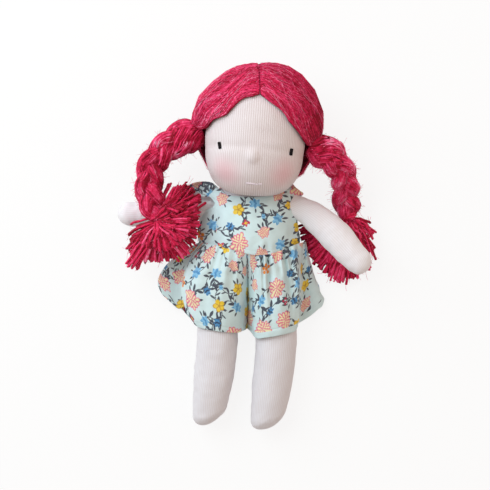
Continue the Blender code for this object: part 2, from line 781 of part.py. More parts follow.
def face_level(x, y):
    """How high the front of the head is at this place."""
    across = (x - HEAD_CENTRE[0]) / HEAD_HALF_WIDTH
    up = (y - HEAD_CENTRE[1]) / HEAD_HALF_HEIGHT
    out = math.sqrt(max(head_reach(up, 1.0) ** 2 - across**2, 0.0))
    return HEAD_CENTRE[2] + HEAD_HALF_DEPTH * out


def head_surface(x, y, lift=0.0):
    """The point on the front of the head at this place, raised along the surface's normal."""
    pace = SLOPE_SHARE * HEAD_HALF_WIDTH
    slope_x = (face_level(x + pace, y) - face_level(x - pace, y)) / (2 * pace)
    slope_y = (face_level(x, y + pace) - face_level(x, y - pace)) / (2 * pace)
    return Vector((x, y, face_level(x, y))) + Vector((-slope_x, -slope_y, 1.0)).normalized() * lift


def face_place(shares):
    """The x and y of a place on the face."""
    return HEAD_CENTRE[0] + shares[0] * HEAD_HALF_WIDTH, HEAD_CENTRE[1] + shares[1] * HEAD_HALF_HEIGHT


def ring_points(shrink, count):
    """A loop round the head at the height of the eyes, tilted as the head is."""
    level = (face_place(EYE_RIGHT_SHARES)[1] + face_place(EYE_LEFT_SHARES)[1]) / 2
    points = []
    for index in range(count):
        turn = 2 * math.pi * index / count
        y = level - math.tan(math.radians(EYE_LINE_TILT)) * HEAD_HALF_WIDTH * math.cos(turn)
        share = head_reach((y - HEAD_CENTRE[1]) / HEAD_HALF_HEIGHT, math.sin(turn))
        across = math.cos(turn) * (HEAD_HALF_WIDTH * share - shrink)
        out = math.sin(turn) * (HEAD_HALF_DEPTH * share - shrink)
        points.append(Vector((HEAD_CENTRE[0] + across, y, HEAD_CENTRE[2] + out)))
    return points


def build_head():
    """Skin and wool of the head, the threads that shape them, and the stitched face."""
    ball, neck = head_form("head_skin", 0.0)
    skin = place("head_skin", ball, knit())
    cut(skin, neck, "UNION")
    hollow, bore = head_form("head hollow", SKIN, OVERRUN)
    hollow = guide("head hollow", hollow)
    core, core_neck = head_form("head_wool", SKIN + GAP + FACET, 0.0, 16, 10)
    stuffing = place("head_wool", core, wool())
    cut(stuffing, core_neck, "UNION")

    sunk = SKIN + GAP + FACET + THREAD_RADIUS
    loop = ring_points(sunk, LOOP_POINTS)
    thread = tube_mesh("eye_line_thread", loop, [THREAD_RADIUS] * len(loop), 1, cyclic=True)
    place("eye_line_thread", thread, white_thread())
    room = THREAD_RADIUS + THREAD_ROOM
    groove = tube_mesh("eye line groove", loop, [room] * len(loop), 1, cyclic=True)
    cut(stuffing, guide("eye line groove", groove))

    tie_level = Vector(NECK_FOOT) + neck_axis() * (NECK_RADIUS * NECK_TIE_SHARE)
    side = neck_axis().orthogonal().normalized()
    other = neck_axis().cross(side)
    tie_radius = NECK_RADIUS - SKIN - GAP - THREAD_RADIUS
    tie = []
    for index in range(TIE_LOOP_POINTS):
        turn = 2 * math.pi * index / TIE_LOOP_POINTS
        tie.append(tie_level + (side * math.cos(turn) + other * math.sin(turn)) * tie_radius)
    neck_loop = tube_mesh("neck_tie", tie, [THREAD_RADIUS] * len(tie), 1, cyclic=True)
    place("neck_tie", neck_loop, white_thread())
    tie_groove = tube_mesh("neck tie groove", tie, [room] * len(tie), 1, cyclic=True)
    cut(stuffing, guide("neck tie groove", tie_groove))

    nose_centre = head_surface(*face_place(NOSE_SHARES), lift=-NOSE_RADIUS * NOSE_SUNK_SHARE)
    bump = guide("nose bump", ball_mesh("nose bump", nose_centre, [NOSE_RADIUS] * 3, 14, 10))
    cut(skin, bump, "UNION")
    cut(skin, hollow)
    cut(skin, bore)
    pocket = guide("nose room", ball_mesh("nose room", nose_centre, [NOSE_RADIUS - SKIN] * 3, 12, 8))
    cut(skin, pocket)
    bead_radius = NOSE_RADIUS - SKIN - GAP
    bead = place("nose_bead", ball_mesh("nose_bead", nose_centre, [bead_radius] * 3, 12, 8), wool())
    front = head_ball("wool front", -SKIN, HEAD_SEGMENTS, HEAD_RINGS)
    cut(bead, guide("wool front", front))

    eyes = (("eye_right", EYE_RIGHT_SHARES, EYE_LEAN), ("eye_left", EYE_LEFT_SHARES, -EYE_LEAN))
    for name, shares, lean in eyes:
        spot = face_place(shares)
        points = []
        for share in EYE_STEP_SHARES:
            reach = share * (EYE_LENGTH - EYE_RADIUS)
            x = spot[0] - reach * math.sin(math.radians(lean))
            y = spot[1] + reach * math.cos(math.radians(lean))
            points.append(head_surface(x, y, EYE_RADIUS + GAP))
        end = EYE_RADIUS * EYE_END_SHARE
        radii = [end, EYE_RADIUS, EYE_RADIUS, end]
        place(name, tube_mesh(name, points, radii, 2), dark_thread())

    start = Vector(face_place(MOUTH_FROM_SHARES))
    end = Vector(face_place(MOUTH_TO_SHARES))
    points = []
    for share in np.linspace(0.0, 1.0, MOUTH_POINTS):
        x, y = start.lerp(end, share)
        y -= MOUTH_SAG * math.sin(math.pi * share)
        points.append(head_surface(x, y, THREAD_RADIUS + GAP))
    stitch = tube_mesh("mouth_stitch", points, [THREAD_RADIUS] * len(points), 2)
    place("mouth_stitch", stitch, pale_thread())


# Hair
def hairline_cutter():
    """A block in front of the cheeks whose upper edge is the hairline."""
    reach = 2 * HAIR_HALF_WIDTH
    line = [face_place(shares) for shares in HAIRLINE_SHARES]
    outline = [(-reach, line[0][1] - GAP), *line, (reach, line[-1][1] - GAP)]
    outline += [(reach, -reach), (-reach, -reach)]
    curve = bpy.data.curves.new("hairline", "CURVE")
    curve.dimensions = "2D"
    curve.fill_mode = "BOTH"
    curve.extrude = OVERRUN / 2
    line = curve.splines.new("POLY")
    line.points.add(len(outline) - 1)
    for spot, (x, y) in zip(line.points, outline):
        spot.co = (x, y, 0.0, 1.0)
    line.use_cyclic_u = True
    holder = bpy.data.objects.new("hairline", curve)
    bpy.context.scene.collection.objects.link(holder)
    bpy.context.view_layer.update()
    mesh = bpy.data.meshes.new_from_object(holder.evaluated_get(bpy.context.evaluated_depsgraph_get()))
    build = bmesh.new()
    build.from_mesh(mesh)
    bmesh.ops.remove_doubles(build, verts=build.verts, dist=WELD)
    bmesh.ops.recalc_face_normals(build, faces=build.faces)
    build.to_mesh(mesh)
    build.free()
    bpy.data.objects.remove(holder, do_unlink=True)
    level = HEAD_CENTRE[2] + CHEEK_RISE
    mesh.transform(Matrix.Translation((0.0, 0.0, level + OVERRUN / 2)))
    return guide("hairline", mesh)


def hair_place(shares):
    """A place given as shares of the hair's half sizes."""
    return Vector(
        (
            HAIR_CENTRE[0] + shares[0] * HAIR_HALF_WIDTH,
            HAIR_CENTRE[1] + shares[1] * HAIR_HALF_HEIGHT,
            HAIR_CENTRE[2] + shares[2] * HAIR_HALF_DEPTH,
        )
    )


def hair_shape(spot):
    """Draw in the front of the unit ball, where the yarn is combed thin over the forehead."""
    return spot * (1.0 - HAIR_THIN_SHARE * smooth_step(*HAIR_FACING_SHARES, spot.z))


def build_hair():
    """Two halves of combed yarn from the parting to the bunches, and the thread that sews the parting."""
    gap_name = "head and hair gap"
    head = guide(gap_name, head_ball(gap_name, GAP, HEAD_SEGMENTS, HEAD_RINGS))
    front = hairline_cutter()
    nape = Vector(HEAD_CENTRE) - neck_axis() * OVERRUN
    neck = guide("nape", rod_mesh("nape", nape, HEAD_CENTRE, NECK_RADIUS + NAPE_EASE, 18))
    sizes = (HAIR_HALF_WIDTH, HAIR_HALF_HEIGHT, HAIR_HALF_DEPTH + FLAT_DEPTH)
    reach = OVERRUN * 2
    halves = (("right", -1.0, PLAIT_RIGHT_ROUTE_SHARES), ("left", 1.0, PLAIT_LEFT_ROUTE_SHARES))
    for name, side, route_shares in halves:
        ball = ball_mesh(f"hair_{name}", HAIR_CENTRE, sizes, HEAD_SEGMENTS, HEAD_RINGS, hair_shape)
        half = place(f"hair_{name}", ball, yarn())
        edge = PARTING_X + side * PARTING_WIDTH / 2
        far = edge - side * reach
        level = HAIR_CENTRE[1]
        low = (min(edge, far), level - reach, -reach)
        high = (max(edge, far), level + reach, reach)
        cut(half, guide(f"{name} side", box_mesh(f"{name} side", low, high)))
        cut(half, front)
        cut(half, neck)
        cut(half, head)
        centre = hair_place(route_shares[0])
        ball = ball_mesh(f"{name} bunch clearance", centre, [BUNCH_RADIUS + JOINT_GAP] * 3, 16, 10)
        cut(half, guide(ball.name, ball))
        cut(half, floor_cutter())

    arc = []
    lift = THREAD_RADIUS + GAP
    for turn in np.radians(np.linspace(PARTING_START, PARTING_END, PARTING_POINTS)):
        across = (PARTING_X - HEAD_CENTRE[0]) / HEAD_HALF_WIDTH
        slim = math.sqrt(1.0 - across**2)
        y = HEAD_CENTRE[1] + (HEAD_HALF_HEIGHT * slim + lift) * math.sin(turn)
        z = HEAD_CENTRE[2] + (HEAD_HALF_DEPTH * slim + lift) * math.cos(turn)
        arc.append((PARTING_X, y, z))
    place("parting_thread", tube_mesh("parting_thread", arc, [THREAD_RADIUS] * len(arc), 1), yarn())


# Plaits
def route_points(route_shares, count):
    """Points spread evenly by length along a smooth curve through the route's own points."""
    route = np.array([hair_place(shares) for shares in route_shares])
    steps = np.linalg.norm(np.diff(route, axis=0), axis=1)
    at = np.concatenate([[0.0], np.cumsum(steps)])
    dense = np.linspace(0.0, at[-1], 2 * ROUTE_POINTS)
    line = np.stack([through(at, route[:, axis], dense) for axis in range(3)], axis=1)
    lengths = np.concatenate([[0.0], np.cumsum(np.linalg.norm(np.diff(line, axis=0), axis=1))])
    even = np.linspace(0.0, lengths[-1], count)
    return np.stack([np.interp(even, lengths, line[:, axis]) for axis in range(3)], axis=1), lengths[-1]


def route_frames(points):
    """Directions along, across and up for each point of a route."""
    along = np.gradient(points, axis=0)
    along /= np.linalg.norm(along, axis=1, keepdims=True)
    across = np.cross(along, (0.0, 0.0, 1.0))
    across /= np.linalg.norm(across, axis=1, keepdims=True)
    up = np.cross(across, along)
    return along, across, up


def tie_length():
    """How much of the plait's end the tie covers."""
    return TIE_TURNS * TIE_PITCH + 2 * TIE_RADIUS


def plait_reach():
    """How far the strands reach from the plait's middle: the figure of eight's corners and a strand."""
    return PLAIT_CORNER_SHARE * PLAIT_SWING + STRAND_RADIUS


def strand_points(route_shares, phase, start_gap):
    """One strand of a three-strand plait: a figure of eight carried along the route."""
    points, length = route_points(route_shares, ROUTE_POINTS)
    along, across, up = route_frames(points)
    share = np.linspace(start_gap / length, 1.0, STRAND_POINTS)
    at = share * (len(points) - 1)
    index = np.arange(len(points))

    def pick(values):
        return np.stack([np.interp(at, index, values[:, axis]) for axis in range(3)], axis=1)

    turn = 2 * np.pi * share * length / PLAIT_PITCH + phase
    done = share * length
    left = length - done - tie_length()
    swell = PLAIT_ROOT_SHARE + (1 - PLAIT_ROOT_SHARE) * smooth_step(0.0, PLAIT_EASE, done)
    swell = swell * (PLAIT_END_SHARE + (1 - PLAIT_END_SHARE) * smooth_step(0.0, PLAIT_EASE, left))
    swing = PLAIT_SWING * swell
    path = (
        pick(points)
        + pick(across) * (swing * np.sin(turn))[:, None]
        + pick(up) * (swing * np.sin(2 * turn))[:, None]
    )
    return path, STRAND_RADIUS * swell


def tassel_mesh(name, centre, radius, depth, shares, low_level):
    """A burst of tufts: a flattened ball whose outline and ridges are its tufts."""
    turn = np.linspace(0.0, 2 * np.pi, TASSEL_SPOKES, endpoint=False)
    ends = np.concatenate([shares, shares[:1]])
    at = np.linspace(0.0, len(shares), TASSEL_SPOKES, endpoint=False)
    reach = np.interp(at, np.arange(len(ends)), ends)
    ridge = TUFT_DEPTH_SHARE * np.cos(TASSEL_TUFTS * turn)
    pole = math.radians(TASSEL_POLE)
    height = np.linspace(-pole, pole, TASSEL_RINGS)[:, None]
    out = np.cos(height) * reach * (1 + ridge * np.cos(height)) * radius
    points = np.empty((TASSEL_RINGS, TASSEL_SPOKES, 3))
    points[:, :, 0] = centre[0] + out * np.cos(turn)
    points[:, :, 1] = centre[1] + out * np.sin(turn)
    points[:, :, 2] = np.maximum(centre[2] + depth * np.sin(height), low_level)
    return outward_grid(name, points, True, centre, True, True)


def tie_winding():
    """The radius of the tie's winding: it goes round the narrowed strands."""
    return plait_reach() * PLAIT_END_SHARE + TIE_RADIUS + GAP


def least_self_gap(points, diameter):
    """The least distance between the skins of a winding's turns."""
    points = np.asarray(points)
    steps = np.linalg.norm(np.diff(points, axis=0), axis=1)
    at = np.concatenate([[0.0], np.cumsum(steps)])
    apart = np.linalg.norm(points[:, None] - points[None], axis=2)
    far_along = np.abs(at[:, None] - at[None]) > 2 * diameter
    return apart[far_along].min() - diameter


def build_tie(side, middle, along, across, up):
    """Two turns of yarn wound round the narrowed end of the plait, as one unbroken tube."""
    count = TIE_TURNS * TIE_POINTS
    coil = []
    for index in range(count + 1):
        turn = 2 * math.pi * index / TIE_POINTS
        back = TIE_TURNS * TIE_PITCH * index / count + TIE_RADIUS
        spoke = across * math.cos(turn) + up * math.sin(turn)
        coil.append(middle - along * back + spoke * tie_winding())
    mesh = tube_mesh(f"plait_tie_{side}", coil, [TIE_RADIUS] * len(coil), 1)
    place(f"plait_tie_{side}", mesh, yarn())
    gap = least_self_gap(coil, 2 * TIE_RADIUS)
    print(f"{side} tie: least gap between its turns {gap / MM:.2f} mm")


def build_plait(side, route_shares, from_end, radius, depth, shares, on_floor):
    """A bunch at the head, three strands, a wound tie and a tassel."""
    centre = hair_place(route_shares[0])
    ball = ball_mesh(f"hair_bunch_{side}", centre, [BUNCH_RADIUS] * 3, 16, 10)
    bunch = place(f"hair_bunch_{side}", ball, yarn())
    cut(bunch, bpy.data.objects["head and hair gap"])
    clear = ball_mesh(f"{side} strand clearance", centre, [BUNCH_RADIUS + GAP] * 3, 16, 10)
    clear = guide(clear.name, clear)
    for index in range(STRANDS):
        name = f"plait_{side}_strand_{index + 1}"
        phase = 2 * math.pi * index / STRANDS
        path, radii = strand_points(route_shares, phase, BUNCH_RADIUS * BUNCH_HOLD_SHARE)
        strand = place(name, tube_mesh(name, path, radii, 2), yarn())
        cut(strand, clear)

    line, length = route_points(route_shares, ROUTE_POINTS)
    along, across, up = (Vector(directions[-1]) for directions in route_frames(line))
    end = Vector(line[-1])
    build_tie(side, end, along, across, up)
    print(f"{side} plait: {length / MM:.1f} mm long")

    middle = end + Vector(from_end)
    low_level = 0.0 if on_floor else middle[2] - depth
    burst = tassel_mesh(f"tassel_{side}", middle, radius, depth, shares, low_level)
    burst = place(f"tassel_{side}", burst, yarn())
    line, _ = route_points(route_shares, ROOM_POINTS)
    beyond = end + along * (GAP + STRAND_RADIUS * STRAND_TILT_SHARE)
    wide = plait_reach() + GAP + 2 * FACET
    narrow = tie_winding() + TIE_RADIUS + GAP + FACET
    room = [wide] * (ROOM_POINTS - 2) + [narrow] * 3
    tunnel = tube_mesh(f"{side} plait room", [*line, beyond], room, 2)
    cut(burst, guide(tunnel.name, tunnel))


def build_plaits():
    """The right plait arches over the right arm, and the left one runs down under the left arm."""
    build_plait(
        "right",
        PLAIT_RIGHT_ROUTE_SHARES,
        TASSEL_RIGHT_FROM_END,
        TASSEL_RIGHT_RADIUS,
        TASSEL_RIGHT_DEPTH,
        TASSEL_RIGHT_SHARES,
        False,
    )
    build_plait(
        "left",
        PLAIT_LEFT_ROUTE_SHARES,
        TASSEL_LEFT_FROM_END,
        TASSEL_LEFT_RADIUS,
        TASSEL_LEFT_DEPTH,
        TASSEL_LEFT_SHARES,
        True,
    )


# Romper
def bodice_patch(name, from_turn, to_turn, columns, back):
    """A piece of the bodice: a stretch of the torso's own surface, moved out by the gap."""
    points = torso_points(PATCH_COLUMNS, TORSO_RINGS, GAP)
    picks = np.linspace(from_turn, to_turn, columns) * PATCH_COLUMNS / 360
    picks = picks.round().astype(int) % PATCH_COLUMNS
    patch = points[:, picks]
    low = WAIST_LEVEL
    rows = np.where(patch[:, 0, 1] > low)[0]
    first = rows[0] - 1
    share = (low - patch[first, :, 1]) / (patch[first + 1, :, 1] - patch[first, :, 1])
    waist = patch[first] + (patch[first + 1] - patch[first]) * share[:, None]
    patch = np.concatenate([waist[None], patch[rows[0] :]])
    if back:
        patch = press_back(patch, back)
    return outward_grid(name, patch, False, torso_middle())


def press_back(patch, side):
    """Lower the flat of the back to the surface the doll lies on, with the placket's two layers."""
    x = patch[:, :, 0] - torso_middle()[0]
    flat = BACK_LEVEL - GAP
    down = flat - CLOTH + BACK_PRESS
    outer = 1.0 - smooth_step(BACK_FLAT_HALF, BACK_FLAT_HALF + BACK_EASE, np.abs(x))
    inner = smooth_step(PLACKET_HALF + GAP, PLACKET_HALF + BACK_EASE / 2, np.abs(x))
    share = outer if side == "left" else outer * np.where(x > 0, 0.0, inner)
    near = 1.0 - smooth_step(flat + GAP, flat + BACK_EASE, patch[:, :, 2])
    patch = patch.copy()
    patch[:, :, 2] -= down * share * near
    return patch


def shorts_points(side, centre_x, wing, rise):
    """One leg of the romper: half of the waist's ellipse opens down into a flared tube at the hem."""
    rows = np.linspace(0.0, 1.0, SHORTS_ROWS)
    columns = np.linspace(0.0, 1.0, SHORTS_COLUMNS)
    top = WAIST_LEVEL - CLOTH - GAP
    fall = np.clip(rows * (top - HEM_LEVEL) / (top - CROTCH_LEVEL), 0.0, 1.0)
    seat = smooth_step(0.0, 1.0, fall)
    rise_turn = np.pi / 2 * (1.0 - fall**SHORTS_RISE_POWER)
    open_turn = rise_turn + math.radians(SHORTS_OPEN)
    gather = 2 * GAP + 2 * CLOTH
    waist = torso_sizes((WAIST_LEVEL - TORSO_LOW) / TORSO_LENGTH)
    waist_middle, waist_width, waist_depth, waist_level = (float(size) for size in waist)
    waist_width += gather
    waist_depth += gather
    seam = waist_middle + (HIP_MIDDLE_X - waist_middle) * seat + side * (GAP / 2 + CLOTH)
    middle = seam + (centre_x - seam) * np.cos(rise_turn)
    reach_in = np.abs(centre_x - seam)
    puff = np.sin(np.pi * np.clip(rows * SHORTS_PUFF_SHARE, 0.0, 1.0)) ** SHORTS_PUFF_POWER
    edge = waist_middle + side * waist_width
    edge = edge + (centre_x + side * wing - edge) * np.sqrt(rows)
    outer = np.abs(edge - middle)
    depth = waist_depth + (SHORTS_HEM_DEPTH - waist_depth) * seat + puff * 2 * GAP
    level = waist_level + (SHORTS_HEM_MIDDLE - waist_level) * seat
    # The turn starts at the inner side of the leg
    turn = open_turn[:, None] + (2 * np.pi - 2 * open_turn)[:, None] * columns
    cosine = np.cos(turn)
    folds = 1.0 + (SHORTS_FOLD / SHORTS_HEM_DEPTH) * rows[:, None] * np.cos(SHORTS_FOLDS * turn)
    across = np.where(cosine > 0, reach_in[:, None] * cosine, outer[:, None] * cosine * folds)
    x = middle[:, None] - side * across
    z = level[:, None] + depth[:, None] * np.sin(turn) * folds
    wing_start = waist_width * SHORTS_WING_START_SHARE
    beyond = np.clip((-cosine * outer[:, None] - wing_start) / SHORTS_WING_SPAN, 0.0, 1.0)
    z = z * (1.0 - SHORTS_WING_FALL_SHARE * beyond)
    z = np.maximum(z, SHORTS_FLOOR + CLOTH)
    away = np.clip(-cosine, 0.0, 1.0)
    y = top + (HEM_LEVEL - top) * rows[:, None] + rise * rows[:, None] * away**2
    points = np.stack([x, y, z], axis=2)
    return points


def build_romper():
    """The front and the two back pieces of the bodice, the closure between them, and two legs."""
    blocks = [bpy.data.objects["head clearance"]]
    for name, shoulder in (("right", ARM_RIGHT_SHOULDER), ("left", ARM_LEFT_SHOULDER)):
        side = math.copysign(1.0, shoulder[0])
        start = Vector(shoulder) - Vector((side * ARMHOLE_RADIUS, 0.0, 0.0))
        end = Vector(shoulder) + Vector((side * OVERRUN, 0.0, 0.0))
        rod = rod_mesh(f"armhole {name}", start, end, ARMHOLE_RADIUS, 16)
        blocks.append(guide(rod.name, rod))
    bottom = Vector((*NECKLINE_CENTRE, 0.0))
    top = Vector((*NECKLINE_CENTRE, OVERRUN))
    neckline = rod_mesh("neckline", bottom, top, NECKLINE_RADIUS, 24)
    blocks.append(guide("neckline", neckline))
    pieces = [
        place("romper_front", bodice_patch("romper_front", 1, 179, 15, ""), print_cloth()),
        place("romper_back_right", bodice_patch("romper_back_right", 181, 279, 12, "right"), print_cloth()),
        place("romper_back_left", bodice_patch("romper_back_left", 261, 359, 12, "left"), print_cloth()),
    ]
    for piece in pieces:
        thicken(piece, CLOTH, outward=True)
        for block in blocks:
            cut(piece, block)
        if piece.name != "romper_front":
            cut(piece, floor_cutter())

    for name, side, centre_x, wing, rise in (
        ("romper_leg_right", -1.0, SHORTS_RIGHT_CENTRE, SHORTS_RIGHT_WING, SHORTS_RIGHT_RISE),
        ("romper_leg_left", 1.0, SHORTS_LEFT_CENTRE, SHORTS_LEFT_WING, SHORTS_LEFT_RISE),
    ):
        points = shorts_points(side, centre_x, wing, rise)
        inside = (centre_x, CROTCH_LEVEL, SHORTS_HEM_MIDDLE)
        leg = place(name, outward_grid(name, points, False, inside), print_cloth())
        thicken(leg, CLOTH, outward=True)

    middle = torso_middle()[0]
    level = CLOTH + GAP
    start = WAIST_LEVEL + STRIP_ABOVE_WAIST
    for name in ("closure_loop_strip", "closure_hook_strip"):
        low = (middle - PLACKET_STRIP, start, level)
        high = (middle + PLACKET_STRIP, start + STRIP_LENGTH, level + STRIP_THICKNESS)
        place(name, box_mesh(name, low, high), closure_tape())
        level += STRIP_THICKNESS + GAP


def pivot(name, where, parts, base=None):
    """An empty on a joint's axis that carries the pieces whose names start with one of the parts."""
    made = bpy.data.objects.new(name, None)
    made.empty_display_size = THREAD_RADIUS
    made.location = where
    collection(PARTS).objects.link(made)
    pieces = [piece for piece in collection(PARTS).objects if piece.type == "MESH"]
    carried = [piece for piece in pieces if piece.name.startswith(parts)]
    if base is not None:
        made.parent = base
        made.location = Vector(where) - base.location
    bpy.context.view_layer.update()
    for piece in carried:
        piece.parent = made
        piece.matrix_parent_inverse = made.matrix_world.inverted()
    return made


def build_pivots():
    """The empties of the neck, the plaits' roots, the shoulders and the hips."""
    head_parts = ("head_", "eye_", "neck_tie", "nose_bead", "mouth_stitch", "hair_right", "hair_left", "parting")
    head = pivot("head_pivot", HEAD_CENTRE, head_parts)
    for side, route_shares in (("right", PLAIT_RIGHT_ROUTE_SHARES), ("left", PLAIT_LEFT_ROUTE_SHARES)):
        parts = (f"hair_bunch_{side}", f"plait_{side}_strand", f"plait_tie_{side}", f"tassel_{side}")
        pivot(f"plait_{side}_pivot", hair_place(route_shares[0]), parts, head)
    for name, where in (
        ("arm_right", ARM_RIGHT_SHOULDER),
        ("arm_left", ARM_LEFT_SHOULDER),
        ("leg_right", (*LEG_RIGHT_HIP, LEG_HIP_LEVEL)),
        ("leg_left", (*LEG_LEFT_HIP, LEG_HIP_LEVEL)),
    ):
        pivot(f"{name}_pivot", where, (f"{name}_skin", f"{name}_wool"))


def main():
    clear_scene()
    build_torso()
    build_legs()
    build_arms()
    build_head()
    build_hair()
    build_plaits()
    build_romper()
    build_pivots()
    bpy.context.view_layer.update()


main()
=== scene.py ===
# %% [markdown]
# # A cloth doll with crimson plaits
#
# The doll lies on its back and is seen from straight above. Its surfaces are computed with numpy,
# in millimetres, and handed to Blender in metres. Right and left are the doll's own, so its right
# side is at the left of the picture. The CAD model gives the frame: each piece here stands for a
# node of that frame and moves with its body.
#
# The lesson begins with an empty scene and the frame.

# %% Imports and frame
import json
import math

import bpy
import numpy as np
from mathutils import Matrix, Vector

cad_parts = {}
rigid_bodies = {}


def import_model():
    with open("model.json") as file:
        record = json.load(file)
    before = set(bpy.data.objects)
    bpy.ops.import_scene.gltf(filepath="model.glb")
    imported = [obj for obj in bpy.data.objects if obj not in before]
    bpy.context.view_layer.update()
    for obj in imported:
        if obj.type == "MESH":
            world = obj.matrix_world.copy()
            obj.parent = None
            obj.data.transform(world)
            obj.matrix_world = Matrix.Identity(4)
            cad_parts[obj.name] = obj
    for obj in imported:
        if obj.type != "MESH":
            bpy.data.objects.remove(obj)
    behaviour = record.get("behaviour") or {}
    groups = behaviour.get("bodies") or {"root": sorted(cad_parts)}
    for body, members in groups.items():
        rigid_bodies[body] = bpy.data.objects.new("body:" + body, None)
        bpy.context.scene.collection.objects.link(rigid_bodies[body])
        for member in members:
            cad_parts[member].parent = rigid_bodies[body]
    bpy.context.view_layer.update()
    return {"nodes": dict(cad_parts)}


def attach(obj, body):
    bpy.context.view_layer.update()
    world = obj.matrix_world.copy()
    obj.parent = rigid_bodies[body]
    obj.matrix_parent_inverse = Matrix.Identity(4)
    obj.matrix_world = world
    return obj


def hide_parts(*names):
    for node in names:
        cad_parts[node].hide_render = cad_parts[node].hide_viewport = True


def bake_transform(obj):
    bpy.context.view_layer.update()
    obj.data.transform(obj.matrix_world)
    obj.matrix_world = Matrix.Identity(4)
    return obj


for thing in list(bpy.data.objects):
    bpy.data.objects.remove(thing, do_unlink=True)
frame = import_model()

# %% [markdown]
# ## Where the camera stands
#
# Many outlines of the doll are written as places in the picture. A long lens far above the floor
# shows the doll almost without perspective, and similar triangles say which place at a given
# height lies behind a pixel. A flat scale would be simpler, but it would put raised pieces, such
# as the hair, a few millimetres off.

# %% Camera geometry
MM = 0.001  # a millimetre in Blender's metres
LENS, SENSOR = 85.0, 36.0
PIXELS = 490  # the picture's width and height
PIXEL = 0.7  # the size of a pixel, in mm, at the level FOCUS
FOCUS = 25.0
VIEW_X, VIEW_Y = -4.9, -16.1  # the point under the camera
DISTANCE = LENS / SENSOR * PIXELS * PIXEL


def on_photo(px, py, level):
    """Where the sight line through a pixel meets a level: the offset shrinks as the level rises."""
    px, py, level = (np.asarray(value, dtype=float) for value in (px, py, level))
    size = PIXEL * (DISTANCE - (level - FOCUS)) / DISTANCE
    x = VIEW_X + (px - PIXELS / 2) * size
    y = VIEW_Y + (PIXELS / 2 - py) * size
    return np.stack(np.broadcast_arrays(x, y, level), axis=-1)


print("camera height", round(DISTANCE + FOCUS), "mm")

# %% [markdown]
# ## Small tools
#
# A smooth curve through stations, a smooth step, and lumpy noise made of a few sine waves. Each
# takes whole arrays, so a surface is one expression and no loop runs over its points. Blender has
# curves and noise textures of its own, but numbers can be checked, and used again elsewhere.

# %% Curves
def through(stations, values, at):
    """Cubic pieces between the stations, with slopes taken from the neighbouring stations."""
    xs = np.asarray(stations, dtype=float)
    ys = np.asarray(values, dtype=float)
    slopes = np.gradient(ys, xs, axis=0)
    at = np.clip(np.asarray(at, dtype=float), xs[0], xs[-1])
    left = np.clip(np.searchsorted(xs, at, side="right") - 1, 0, len(xs) - 2)
    span = xs[left + 1] - xs[left]
    t = (at - xs[left]) / span
    if ys.ndim == 2:
        span = span[..., None]
        t = t[..., None]
    return (
        (2 * t**3 - 3 * t**2 + 1) * ys[left]
        + (t**3 - 2 * t**2 + t) * span * slopes[left]
        + (3 * t**2 - 2 * t**3) * ys[left + 1]
        + (t**3 - t**2) * span * slopes[left + 1]
    )


def step(low, high, at):
    """Zero below low, one above high, and an even S between them."""
    t = np.clip((np.asarray(at, dtype=float) - low) / (high - low), 0.0, 1.0)
    return t * t * (3.0 - 2.0 * t)


print("halfway up a step:", step(0.0, 1.0, 0.5))


# %% Directions, lengths and noise
def unit(vectors):
    """Vectors of length one."""
    return vectors / np.maximum(np.linalg.norm(vectors, axis=-1, keepdims=True), 1e-9)


def lumps(points, size, seed, waves=7):
    """Noise of about -1 to 1: a sum of plane waves in random directions, of about one size."""
    dice = np.random.default_rng(seed)
    points = np.asarray(points, dtype=float)
    total = np.zeros(points.shape[:-1])
    for _ in range(waves):
        heading = unit(dice.normal(size=points.shape[-1]))
        pace = 2 * np.pi / (size * dice.uniform(0.7, 1.6))
        total += np.sin(points @ heading * pace + dice.uniform(0, 2 * np.pi))
    return total / math.sqrt(waves)


def lengths_along(points):
    """The distance run along a line of points, row by row."""
    steps = np.linalg.norm(np.diff(points, axis=-2), axis=-1)
    start = np.zeros(steps.shape[:-1] + (1,))
    return np.concatenate([start, np.cumsum(steps, axis=-1)], axis=-1)


rng = np.random.default_rng(11)
print("3 mm and then 4 mm make", lengths_along(np.array([(0, 0), (3, 0), (3, 4)]))[-1])

# %% [markdown]
# ## From numbers to meshes
#
# Blender takes a mesh as flat lists. `make_mesh` hands it the points, the faces, a flat layout in
# millimetres, which is the UV map, and any named values. `grid_faces` lists the quads of a grid.
# `tubes` turns many lines into thin tubes at once: a curve object for each yarn would do the same,
# but tens of thousands of them would be slow, and one mesh of tubes is not.

